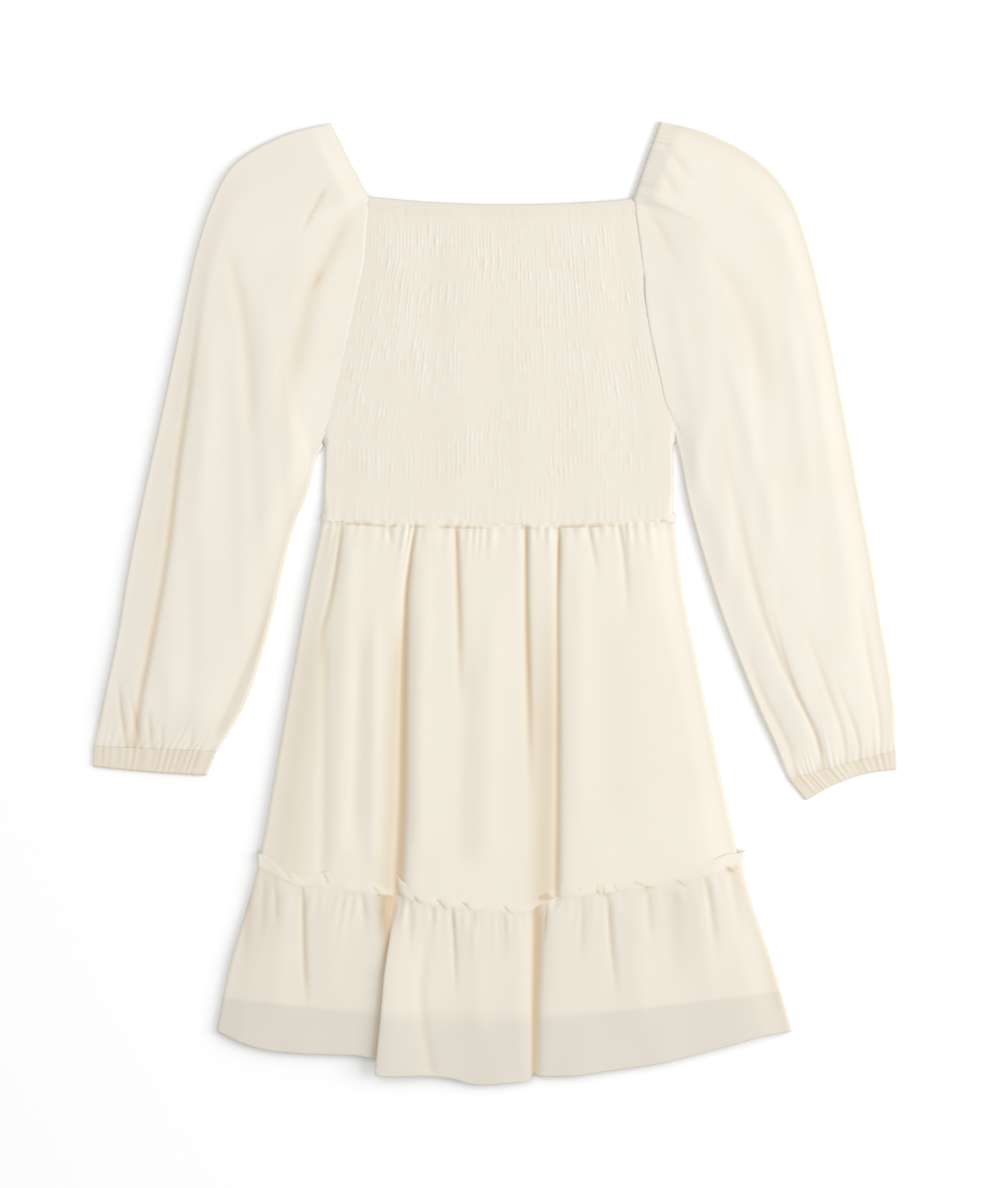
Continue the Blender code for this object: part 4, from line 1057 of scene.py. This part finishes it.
def sleeve_surface(folds, sleeve):
    """A sleeve: a soft dome over each section, pressed in by creases, gathered at the neck edge,
    the armhole and the cuff, and rolled a little over the bodice along the armhole."""
    sections, seed, hand = sleeve.sections, sleeve.seed, sleeve.hand
    down, even = column_of(SLEEVE_ROWS), row_of(SLEEVE_COLUMNS)
    front = even - 0.6 * np.sin(2 * np.pi * even) / (2 * np.pi)
    back = row_of(SLEEVE_BACK_COLUMNS, 1.0, 0.0)
    width = np.hypot(
        even_curve(sections, "inner_x", down) - even_curve(sections, "outer_x", down),
        even_curve(sections, "inner_y", down) - even_curve(sections, "outer_y", down),
    )
    inset = tube_inset(folds, width)
    x, y = sleeve_plan(sections, sleeve.armhole, mix(inset, 1.0 - inset, front), down)
    back_x, back_y = sleeve_plan(sections, sleeve.armhole, mix(inset, 1.0 - inset, back), down)
    step = np.hypot(np.diff(x, axis=0), np.diff(y, axis=0))
    below = np.concatenate([np.zeros((1, x.shape[1])), np.cumsum(step, axis=0)], axis=0)
    above = below[-1:] - below
    from_side = side_distance(front, width)
    dome = mix(rounded(from_side, SIDE_ROUND), smooth_step(from_side / SIDE_SLOPE), 0.5)
    under_bodice = smooth_step((front - 0.24) / 0.04)
    swell = smooth_step(below / mix(20.0, 60.0, under_bodice) + 0.1) * smooth_step(above / 34.0)
    depth, tone = pressed(sleeve.creases, x, y)
    soft = 0.45 * uneven_field(front * width / SWELL_SPACING, below / 60.0, seed)
    crown = crowned(folds.sleeve_puff / MM * dome * swell, 0.8 * depth)
    at_neck = smooth_step((0.29 - front) / 0.03)
    neck = gathers(front, below, NECK_GATHERS, NECK_REACH, seed + 3) * at_neck
    seam = gathers(front, below, ARMHOLE_GATHERS, ARMHOLE_REACH, seed + 4) * (1.0 - at_neck)
    cuff = gathers(front, above + 2.0, folds.cuff_gathers, CUFF_REACH, seed + 5)
    rise = folds.gather_rise / MM * smooth_step(from_side / 6.0)
    rise = rise * (sleeve.neck_gather * neck + 0.1 * seam + 0.4 * cuff)
    height = crown + soft * spared(depth, FOLD_REACH) * dome * swell + rise
    casing = 0.3 * bell(below - CASING, 1.6) * at_neck
    z = TUBE_FOLD_MID + np.maximum(height - casing, 0.0)
    lap = smooth_step((front - 0.3) / 0.08) * smooth_step((0.96 - front) / 0.1)
    lap = lap * smooth_step((sleeve.lap_top - y) / 40.0)
    x = x - hand * sleeve.roll * below / 3.2 * np.exp(1.0 - below / 3.2) * lap
    z = z + folds.sleeve_lift / MM * smooth_step(below / 3.0) * bell(below, 26.0) * lap
    z = z + GAP * under_bodice * smooth_step((0.97 - front) / 0.05) * bell(below, 20.0)
    back_depth, back_tone = pressed(sleeve.creases, back_x, back_y)
    back_side = smooth_step(side_distance(back, width) / 12.0)
    back_rise = BACK_RISE * (1.0 - spared(back_depth, 2.0)) * back_side
    grid = tube_surface(x, y, z, back_x, back_y, back_rise)
    # Painted shade between the gathers at the cuff end, and along the neck edge
    seam_shade = 0.3 * between_puckers(front, folds.cuff_gathers, seed + 5) * bell(above, 6.0)
    seam_shade = seam_shade + RIM_SHADE * at_neck * bell(below, 1.5)
    to_light = (front if hand < 0 else 1.0 - front) > 0.5
    # Painted shade on the rim towards the light
    rim_shade = (RIM_SHADE * bell(from_side, 4.0) + 0.06 * bell(from_side, 16.0)) * to_light
    # Painted shade in dashes between the gathers at the neck edge
    crinkle_shade = between_puckers(front, NECK_GATHERS, seed + 3) * dashes(front, 50.0, seed + 6)
    crinkle_shade = 0.2 * sleeve.neck_gather * at_neck * crinkle_shade * bell(below, 16.0)
    fold = np.zeros(grid.shape[:2])
    fold[:, :SLEEVE_COLUMNS] = np.clip(tone + seam_shade + crinkle_shade + rim_shade * swell, 0.0, 1.0)
    first_back = SLEEVE_COLUMNS + ROUND_COLUMNS
    # Painted shade along the creases on the back wall
    fold[:, first_back : first_back + SLEEVE_BACK_COLUMNS] = 0.6 * back_tone
    return grid, fold


def cuff_surface(folds, sleeve):
    """The elastic casing at a sleeve's end: a short tube whose puffs carry on those of the sleeve
    and flatten at its foot. The bow draws its foot up between the corners."""
    head, foot, seed = sleeve.sections[-1], sleeve.cuff_foot, sleeve.seed
    down, front = column_of(CUFF_ROWS), row_of(CUFF_COLUMNS)
    back = row_of(CUFF_BACK_COLUMNS, 1.0, 0.0)
    at = mix(-0.08, 1.0, down)
    outer_x, outer_y = mix(head.outer_x, foot.outer_x, at), mix(head.outer_y, foot.outer_y, at)
    inner_x, inner_y = mix(head.inner_x, foot.inner_x, at), mix(head.inner_y, foot.inner_y, at)
    width = np.hypot(inner_x - outer_x, inner_y - outer_y)
    inset = tube_inset(folds, width)
    share, back_share = mix(inset, 1.0 - inset, front), mix(inset, 1.0 - inset, back)
    wave, heights, _ = puckers(front, folds.cuff_gathers, seed + 5)
    puff = wave * heights
    dome = smooth_step(side_distance(front, width) / 6.0)
    belly = mix(0.8, 1.0, np.sin(np.pi * down)) * mix(1.0, 0.5, down)
    sunk = 0.35 * smooth_step(1.0 - down / 0.08) - 0.08
    z = TUBE_FOLD_MID + folds.cuff_rise / MM * dome * puff * belly - sunk
    bow, back_bow = (sleeve.cuff_bow * 4.0 * part * (1.0 - part) * at for part in (share, back_share))
    x, back_x = (mix(outer_x, inner_x, part) for part in (share, back_share))
    y = mix(outer_y, inner_y, share) + bow - 0.4 * puff * down * dome
    back_y = mix(outer_y, inner_y, back_share) + back_bow
    back_wave, back_heights, _ = puckers(back, folds.cuff_gathers, seed + 6)
    back_rise = 0.3 * back_wave * back_heights * smooth_step(side_distance(back, 8.0)) + 0.0 * down
    grid = tube_surface(x, y, z, back_x, back_y, back_rise)
    # Painted shade in dashes between the puffs, over the cuff's darker tone all over
    crease = (1.0 - puff) * dome * dashes(front, 26.0, seed + 8)
    fold = np.full(grid.shape[:2], CUFF_TONE)
    fold[:, :CUFF_COLUMNS] = CUFF_TONE + crease * (0.06 + 0.16 * (1.0 - down))
    return grid, fold


# Materials


def new_group(name, inputs, output, kind):
    """A shader node group with named sockets and one output."""
    group = bpy.data.node_groups.new(name, "ShaderNodeTree")
    for label, socket_kind, default in inputs:
        socket = group.interface.new_socket(name=label, in_out="INPUT", socket_type=socket_kind)
        if default is not None:
            socket.default_value = default
    group.interface.new_socket(name=output, in_out="OUTPUT", socket_type=kind)
    return group, group.nodes.new("NodeGroupInput").outputs, group.nodes.new("NodeGroupOutput")


def fill_inputs(tree, node, inputs):
    """Gives each named input of a node its value, or joins an output to it."""
    for name, value in inputs.items():
        if isinstance(value, bpy.types.NodeSocket):
            tree.links.new(value, node.inputs[name])
        else:
            node.inputs[name].default_value = value


def add_node(tree, kind, inputs, **settings):
    """A new node with these settings. Each input takes a value, or an output that is joined to it."""
    node = tree.nodes.new(kind)
    for name, value in settings.items():
        setattr(node, name, value)
    fill_inputs(tree, node, inputs)
    return node


def weave_group():
    """Height of a fine plain weave with the uneven twist of crepe yarn: two crossed sine bands
    and a fine noise."""
    group, given, result = new_group(
        "Chiffon weave",
        [("Cloth", "NodeSocketVector", None), ("Threads", "NodeSocketFloat", THREADS)],
        "Height",
        "NodeSocketFloat",
    )
    scaled = add_node(
        group, "ShaderNodeVectorMath", {0: given["Cloth"], "Scale": given["Threads"]}, operation="SCALE"
    ).outputs["Vector"]
    bands = [
        add_node(
            group,
            "ShaderNodeTexWave",
            {"Vector": scaled, "Scale": 0.314, "Distortion": 0.8},
            bands_direction=direction,
        ).outputs["Fac"]
        for direction in ("X", "Y")
    ]
    crossed = add_node(group, "ShaderNodeMath", {0: bands[0], 1: bands[1]}, operation="MAXIMUM")
    twist = add_node(group, "ShaderNodeTexNoise", {"Vector": scaled, "Scale": 0.5, "Detail": 2.0})
    both = add_node(
        group, "ShaderNodeMath", {0: crossed.outputs[0], 1: twist.outputs["Fac"]}, operation="ADD"
    )
    fill_inputs(group, result, {"Height": both.outputs[0]})
    return group


def tone_group():
    """Colour of the cloth: its own tone, or the greyer tone where no lining lies behind, which is the
    thin cloth with painted shade of the gap behind it. This is clouded by a soft uneven noise and mixed
    towards the deep tone, a painted shade, as far as the fold attribute says, in creases, hollows, seams
    and laps."""
    group, given, result = new_group(
        "Cream tone",
        [
            ("Place", "NodeSocketVector", None),
            ("Tone", "NodeSocketColor", (0.8, 0.8, 0.8, 1.0)),
            ("Deep tone", "NodeSocketColor", (0.7, 0.6, 0.5, 1.0)),
            ("Sheer tone", "NodeSocketColor", (0.7, 0.7, 0.7, 1.0)),
            ("Fold", "NodeSocketFloat", 0.0),
            ("Sheer", "NodeSocketFloat", 0.0),
            ("Depth", "NodeSocketFloat", 0.5),
            ("Clouding", "NodeSocketFloat", 0.1),
        ],
        "Color",
        "NodeSocketColor",
    )
    cloud = add_node(
        group, "ShaderNodeTexNoise", {"Vector": given["Place"], "Scale": 28.0, "Detail": 3.0}
    )
    clouded = add_node(
        group, "ShaderNodeMath", {0: cloud.outputs["Fac"], 1: given["Clouding"]}, operation="MULTIPLY"
    )
    deep = add_node(
        group,
        "ShaderNodeMath",
        {0: given["Fold"], 1: given["Depth"], 2: clouded.outputs[0]},
        operation="MULTIPLY_ADD",
        use_clamp=True,
    )
    base = add_node(
        group,
        "ShaderNodeMix",
        {"Factor": given["Sheer"], "A": given["Tone"], "B": given["Sheer tone"]},
        data_type="RGBA",
    )
    blend = add_node(
        group,
        "ShaderNodeMix",
        {"Factor": deep.outputs[0], "A": base.outputs["Result"], "B": given["Deep tone"]},
        data_type="RGBA",
    )
    fill_inputs(group, result, {"Color": blend.outputs["Result"]})
    return group


def shared_group(name, maker):
    """A node group by its name, made on first use."""
    return bpy.data.node_groups.get(name) or maker()


def new_material(name, inputs):
    """A material and its shader, with these values in the shader's inputs."""
    material = bpy.data.materials.new(name)
    material.use_nodes = True
    shader = material.node_tree.nodes["Principled BSDF"]
    fill_inputs(material.node_tree, shader, inputs)
    return material, material.node_tree, shader


def cloth_material(name, tone, deep, depth, clouding=0.1, threads=THREADS, sheer=None):
    """Chiffon: the cream tone, a fine weave in the bump, a dull face and a faint sheen."""
    material, tree, shader = new_material(
        name,
        {
            "Roughness": 0.85,
            "Specular IOR Level": 0.2,
            "Sheen Weight": 0.12,
            "Sheen Roughness": 0.45,
        },
    )
    place = add_node(tree, "ShaderNodeTexCoord", {})
    cloth_map = add_node(tree, "ShaderNodeUVMap", {}, uv_map="cloth")
    # The fold attribute: how much painted shade each point takes
    fold = add_node(tree, "ShaderNodeAttribute", {}, attribute_name="fold")
    cream = add_node(
        tree,
        "ShaderNodeGroup",
        {
            "Place": place.outputs["Object"],
            "Tone": (*tone, 1.0),
            "Deep tone": (*deep, 1.0),
            "Fold": fold.outputs["Fac"],
            "Depth": depth,
            "Clouding": clouding,
        },
        node_tree=shared_group("Cream tone", tone_group),
    )
    if sheer is not None:
        bare = add_node(tree, "ShaderNodeAttribute", {}, attribute_name="sheer")
        fill_inputs(tree, cream, {"Sheer tone": (*sheer, 1.0), "Sheer": bare.outputs["Fac"]})
    weave = add_node(
        tree,
        "ShaderNodeGroup",
        {"Cloth": cloth_map.outputs["UV"], "Threads": threads},
        node_tree=shared_group("Chiffon weave", weave_group),
    )
    bump = add_node(
        tree,
        "ShaderNodeBump",
        {"Strength": 0.25, "Distance": 0.1 * MM, "Height": weave.outputs["Height"]},
    )
    fill_inputs(
        tree, shader, {"Base Color": cream.outputs["Color"], "Normal": bump.outputs["Normal"]}
    )
    return material


def stitch_thread():
    """The sewing thread: the cream of the cloth, a little lighter, with a soft lustre."""
    if "sewing_thread" in bpy.data.materials:
        return bpy.data.materials["sewing_thread"]
    material, tree, shader = new_material("sewing_thread", {"Roughness": 0.6})
    place = add_node(tree, "ShaderNodeTexCoord", {})
    twist = add_node(
        tree, "ShaderNodeTexNoise", {"Vector": place.outputs["Object"], "Scale": 900.0}
    )
    ramp = add_node(tree, "ShaderNodeValToRGB", {"Fac": twist.outputs["Fac"]})
    ramp.color_ramp.elements[0].color = (0.78, 0.73, 0.63, 1.0)
    ramp.color_ramp.elements[1].color = (0.85, 0.81, 0.73, 1.0)
    fill_inputs(tree, shader, {"Base Color": ramp.outputs["Color"]})
    return material


# Settings


def length(name, text, size):
    """A length setting in metres."""
    return bpy.props.FloatProperty(
        name=name, description=text, default=size, unit="LENGTH", subtype="DISTANCE"
    )


def amount(name, text, number):
    """A setting for a number of like things."""
    return bpy.props.IntProperty(name=name, description=text, default=number)


def colour(name, text, tone):
    """A colour setting."""
    return bpy.props.FloatVectorProperty(
        name=name, description=text, default=tone, size=3, min=0.0, max=1.0, subtype="COLOR"
    )


class DressFolds(bpy.types.PropertyGroup):
    """Sizes of the folds, gathers and smocking."""

    wall: length("Cloth", "Thickness of the shells of cloth", 0.5 * MM)
    skirt_crown: length("Skirt crown", "How far the skirt stands up between its folds", 3.8 * MM)
    tier_crown: length("Tier crown", "How far the tier stands up between its folds", 4.0 * MM)
    gather_rise: length("Gather rise", "Height of the small folds at the seams", 1.2 * MM)
    sleeve_puff: length("Sleeve puff", "How far a sleeve's front stands up", 4.4 * MM)
    sleeve_lift: length("Sleeve lift", "How far a sleeve stands over the bodice", 0.4 * MM)
    smocking_rise: length("Smocking rise", "Height of the puffs between the stitches", 0.7 * MM)
    cuff_rise: length("Cuff rise", "Height of the puffs of a cuff", 0.6 * MM)
    smocking_rows: amount("Smocking rows", "Spaces between the rows of elastic", 24)
    smocking_columns: amount("Smocking puffs", "Puffs in one row of smocking", 74)
    waist_gathers: amount("Waist gathers", "Small folds under the waist", 34)
    tier_gathers: amount("Tier gathers", "Small folds under the tier seam", 48)
    cuff_gathers: amount("Cuff gathers", "Puffs across one cuff", 16)


class DressColours(bpy.types.PropertyGroup):
    """Tones of the cloth."""

    bodice: colour("Bodice", "Smocked cloth", (0.824, 0.789, 0.709))
    skirt: colour("Skirt", "Cloth of the skirt", (0.831, 0.785, 0.686))
    sleeve: colour("Sleeves", "Cloth of the sleeves", (0.83, 0.789, 0.702))
    tier: colour("Tier", "Sheer cloth of the tier", (0.792, 0.743, 0.652))
    # The unlined tier: the thin cloth's own tone, with painted shade of the gap behind it
    sheer: colour("Unlined tier", "Sheer cloth with no lining behind", (0.718, 0.678, 0.6))
    lining: colour("Lining", "Cloth of the lining", (0.8, 0.75, 0.65))
    # The deep tone is painted shade: the fold attribute mixes it in where creases, hollows, seams and
    # laps fall into shade
    deep: colour("Fold", "Painted shade in creases, hollows, seams and laps", (0.64, 0.5, 0.33))


class DressStage(bpy.types.PropertyGroup):
    """The surface, the lights and the camera."""

    floor: colour("Floor", "Tone of the surface", (0.985, 0.985, 0.985))
    lens: bpy.props.FloatProperty(
        name="Lens", description="Focal length of the camera, in millimetres", default=85.0
    )
    view_height: length("View height", "Length of the surface that the picture shows", 0.8554)


class DRESS_OT_bodice(bpy.types.Operator):
    """Makes the smocked bodice front and the bodice back"""

    bl_idname = "dress.bodice"
    bl_label = "Bodice"

    def execute(self, context):
        folds, tones = context.scene.dress_folds, context.scene.dress_colours
        wall = folds.wall / MM
        material = cloth_material("smocked_cloth", tones.bodice, tones.deep, 0.9)
        casing_lines = np.linspace(NECK_Y, SMOCKING_TOP_Y, CASING_LINES)[:-1]
        smocking_lines = LINES_A_ROW * folds.smocking_rows + 1
        smocked = np.linspace(SMOCKING_TOP_Y, SMOCKING_FOOT_Y, smocking_lines)
        plain = np.linspace(SMOCKING_FOOT_Y, WAIST_Y, PLAIN_LINES)[1:]
        lines = np.concatenate([casing_lines, smocked, plain])[:, None]
        grid, fold = bodice_surface(folds, lines)
        make_cloth("bodice_front", grid, wall, material, fold=fold)
        under_casing = grid[np.argmin(np.abs(lines - SMOCKING_TOP_Y))]
        inside = slice(NECK_STITCH_INSET, -NECK_STITCH_INSET)
        add_stitches("neck_stitches", under_casing[inside], "bodice_front")
        across = row_of(BODICE_BACK_COLUMNS)
        lines = np.linspace(NECK_Y, WAIST_Y, BODICE_BACK_ROWS)[:, None]
        x, y, width = bodice_plan(across, lines)
        z = BACK_MID + 0.3 * smocking(folds, across, lines, width)[0]
        make_cloth("bodice_back", points_of(x, y, z), wall, material)
        return {"FINISHED"}


class DRESS_OT_skirt(bpy.types.Operator):
    """Makes the skirt front and the hem tier in front, with their deep folds"""

    bl_idname = "dress.skirt"
    bl_label = "Skirt and tier"

    def execute(self, context):
        folds, tones = context.scene.dress_folds, context.scene.dress_colours
        wall = folds.wall / MM
        across = panel_columns(PANEL_COLUMNS)
        grid, fold = skirt_surface(folds, across, column_of(SKIRT_ROWS))
        material = cloth_material("skirt_cloth", tones.skirt, tones.deep, 1.0)
        make_cloth("skirt_front", grid, wall, material, fold=fold)
        grid, fold = tier_surface(folds, across, column_of(TIER_ROWS), grid[-1, :, 2])
        # Where no lining lies behind, the tier takes its greyer tone with painted shade
        sheer = unlined(grid[..., 0], grid[..., 1])
        material = cloth_material("tier_cloth", tones.tier, tones.deep, 1.0, sheer=tones.sheer)
        make_cloth("tier_front", grid, wall, material, fold=fold, sheer=sheer)
        add_stitches("hem_stitches", grid[HEM_STITCH_ROW], "tier_front")
        return {"FINISHED"}


class DRESS_OT_headings(bpy.types.Operator):
    """Makes the ruffled headings at the waist and at the tier"""

    bl_idname = "dress.headings"
    bl_label = "Headings"

    def execute(self, context):
        folds, tones = context.scene.dress_folds, context.scene.dress_colours
        wall = folds.wall / MM
        material = cloth_material("heading_cloth", tones.skirt, tones.deep, 0.8)
        across = row_of(WAIST_HEADING_COLUMNS)
        skirt, tone = skirt_surface(folds, across, np.array([[0.0], [WAIST_HEADING_SHARE]]))
        _, _, width = bodice_plan(across, WAIST_Y + 0.4 * WAIST_HEADING.height)
        over = bodice_inside(across, WAIST_Y + 6.0, width)[0] + CAD_WALL
        grid, fold = heading_surface(WAIST_HEADING, skirt[1], over)
        fold = np.maximum(fold, waist_seam_shade(tone[1]))
        make_cloth("waist_heading", grid, wall, material, fold=fold)
        add_stitches("waist_stitches", grid[HEADING_STITCH_ROW], "waist_heading")
        across = row_of(TIER_HEADING_COLUMNS)
        skirt, tone = skirt_surface(folds, across, np.linspace(TIER_HEADING_SHARE, 1.0, 5)[:, None])
        over = np.max(skirt[..., 2], axis=0)
        grid, fold = heading_surface(TIER_HEADING, tier_heading_foot(skirt[-1]), over)
        grid = bend_heading(grid)
        # Painted shade in the corner at the pleat
        corner = pleat_shade_mask(grid[..., 0], grid[..., 1])
        dent, mark = pressed(TIER_MARKS, grid[..., 0], grid[..., 1])
        grid[..., 2] = grid[..., 2] - 0.6 * dent
        # The marks and the skirt's folds carry their painted shade on into the heading
        marks = 1.2 * np.maximum(mark, tone[-1][None, :] - 0.12)
        fold = np.clip(np.maximum(fold, marks) + corner, 0.0, 1.0)
        make_cloth("tier_heading", grid, wall, material, fold=fold)
        add_stitches("tier_stitches", grid[HEADING_STITCH_ROW], "tier_heading")
        return {"FINISHED"}


class DRESS_OT_sleeves(bpy.types.Operator):
    """Makes both sleeves and their gathered cuffs"""

    bl_idname = "dress.sleeves"
    bl_label = "Sleeves and cuffs"

    def execute(self, context):
        folds, tones = context.scene.dress_folds, context.scene.dress_colours
        wall = folds.wall / MM
        material = cloth_material("sleeve_cloth", tones.sleeve, tones.deep, 0.9)
        for sleeve in SLEEVES:
            grid, fold = sleeve_surface(folds, sleeve)
            make_cloth(f"sleeve_{sleeve.side}", grid, wall, material, closed=True, fold=fold)
            grid, fold = cuff_surface(folds, sleeve)
            cuff = f"cuff_{sleeve.side}"
            make_cloth(cuff, grid, wall, material, closed=True, fold=fold)
            front = grid[CUFF_STITCH_ROW, CUFF_STITCH_INSET : CUFF_COLUMNS - CUFF_STITCH_INSET]
            add_stitches(f"{cuff}_stitches", front, cuff)
        return {"FINISHED"}


class DRESS_OT_back(bpy.types.Operator):
    """Makes the skirt back, the tier back and both halves of the lining"""

    bl_idname = "dress.back"
    bl_label = "Back and lining"

    def execute(self, context):
        folds, tones = context.scene.dress_folds, context.scene.dress_colours
        wall = folds.wall / MM
        back_cloth = cloth_material("back_cloth", tones.skirt, tones.deep, 0.3)
        lining_cloth = cloth_material("lining_cloth", tones.lining, tones.deep, 0.3, 0.05, 1800.0)
        across, down = row_of(BACK_COLUMNS), column_of(BACK_ROWS)
        seam = BACK_SEAM_Y - BACK_SEAM_SAG * np.sin(np.pi * across) ** 0.8
        hem = table_curve(BACK_HEM, "across", "y", across)
        for node, sections, top, foot, creases in (
            ("skirt_back", SKIRT_SECTIONS, WAIST_Y - GAP, seam, SKIRT_FOLDS),
            ("tier_back", TIER_SECTIONS, seam - GAP, hem, TIER_FOLDS),
        ):
            x, y = panel_x(sections, across, down), mix(top, foot, down)
            # The back takes painted shade along its folds
            depth, tone = pressed(creases, -x, y)
            z = BACK_MID + BACK_RISE * (1.0 - spared(depth, 2.0))
            make_cloth(node, points_of(x, y, z), wall, back_cloth, fold=tone)
        across = row_of(LINING_COLUMNS)
        y = mix(WAIST_Y - 1.0, table_curve(LINING_HEM, "across", "y", across), down)
        left = table_curve(LINING_SECTIONS, "y", "left", y) + LINING_INSET
        right = table_curve(LINING_SECTIONS, "y", "right", y) - LINING_INSET
        for node, height in (("lining_back", LINING_BACK_MID), ("lining_front", LINING_FRONT_MID)):
            make_cloth(node, points_of(mix(left, right, across), y, height), wall, lining_cloth)
        return {"FINISHED"}


class DRESS_OT_stage(bpy.types.Operator):
    """Makes the surface, the lights and the camera"""

    bl_idname = "dress.stage"
    bl_label = "Stage"

    def execute(self, context):
        scene = context.scene
        settings = scene.dress_stage
        sides = ((-1, -1), (1, -1), (1, 1), (-1, 1))
        mesh = bpy.data.meshes.new("floor")
        corners = [(FLOOR_HALF * x, FLOOR_HALF * y, FLOOR_LEVEL) for x, y in sides]
        mesh.from_pydata(corners, [], [(0, 1, 2, 3)])
        paper, _, _ = new_material(
            "floor_paper",
            {"Base Color": (*settings.floor, 1.0), "Roughness": 0.95, "Specular IOR Level": 0.1},
        )
        mesh.materials.append(paper)
        new_object("floor", mesh)
        world = bpy.data.worlds.new("studio")
        world.use_nodes = True
        sky = world.node_tree.nodes["Background"]
        fill_inputs(world.node_tree, sky, {"Color": (1.0, 1.0, 1.0, 1.0), "Strength": SKY_STRENGTH})
        scene.world = world
        for softbox in SOFTBOXES:
            data = bpy.data.lights.new(softbox.name, "AREA")
            data.size = softbox.size
            data.energy = softbox.power
            lamp = new_object(softbox.name, data)
            lamp.location = softbox.place
            lamp.rotation_mode = "QUATERNION"
            lamp.rotation_quaternion = (-Vector(softbox.place)).to_track_quat("-Z", "Y")
        data = bpy.data.cameras.new("camera")
        data.lens = settings.lens
        data.sensor_width = SENSOR_WIDTH
        camera = new_object("camera", data)
        far = settings.view_height / 2 / (data.sensor_width / 2 / settings.lens)
        camera.location = (VIEW_CENTRE[0] * MM, VIEW_CENTRE[1] * MM, far + CLOTH_LEVEL * MM)
        scene.camera = camera
        scene.view_settings.view_transform = "Standard"
        return {"FINISHED"}


class DRESS_PT_panel(bpy.types.Panel):
    """Lists the settings and the operators"""

    bl_label = "Dress"
    bl_space_type = "VIEW_3D"
    bl_region_type = "UI"
    bl_category = "Dress"

    def draw(self, context):
        for name, _ in SETTINGS:
            box = self.layout.box()
            group = getattr(context.scene, name)
            for setting in group.__annotations__:
                box.prop(group, setting)
        for operator in OPERATORS:
            self.layout.operator(operator.bl_idname)


OPERATORS = (
    DRESS_OT_stage,
    DRESS_OT_back,
    DRESS_OT_bodice,
    DRESS_OT_skirt,
    DRESS_OT_headings,
    DRESS_OT_sleeves,
)
SETTINGS = (
    ("dress_folds", DressFolds),
    ("dress_colours", DressColours),
    ("dress_stage", DressStage),
)


def register():
    """Registers the settings, the operators and the panel."""
    for name, kind in SETTINGS:
        bpy.utils.register_class(kind)
        setattr(bpy.types.Scene, name, bpy.props.PointerProperty(type=kind))
    for kind in (*OPERATORS, DRESS_PT_panel):
        bpy.utils.register_class(kind)


def unregister():
    """Removes them again."""
    for kind in (DRESS_PT_panel, *OPERATORS[::-1]):
        bpy.utils.unregister_class(kind)
    for name, kind in SETTINGS[::-1]:
        delattr(bpy.types.Scene, name)
        bpy.utils.unregister_class(kind)


def main():
    """Builds the dress and its stage."""
    register()
    bpy.ops.dress.stage()
    bpy.ops.dress.back()
    bpy.ops.dress.bodice()
    bpy.ops.dress.skirt()
    bpy.ops.dress.headings()
    bpy.ops.dress.sleeves()


if __name__ == "__main__":
    main()
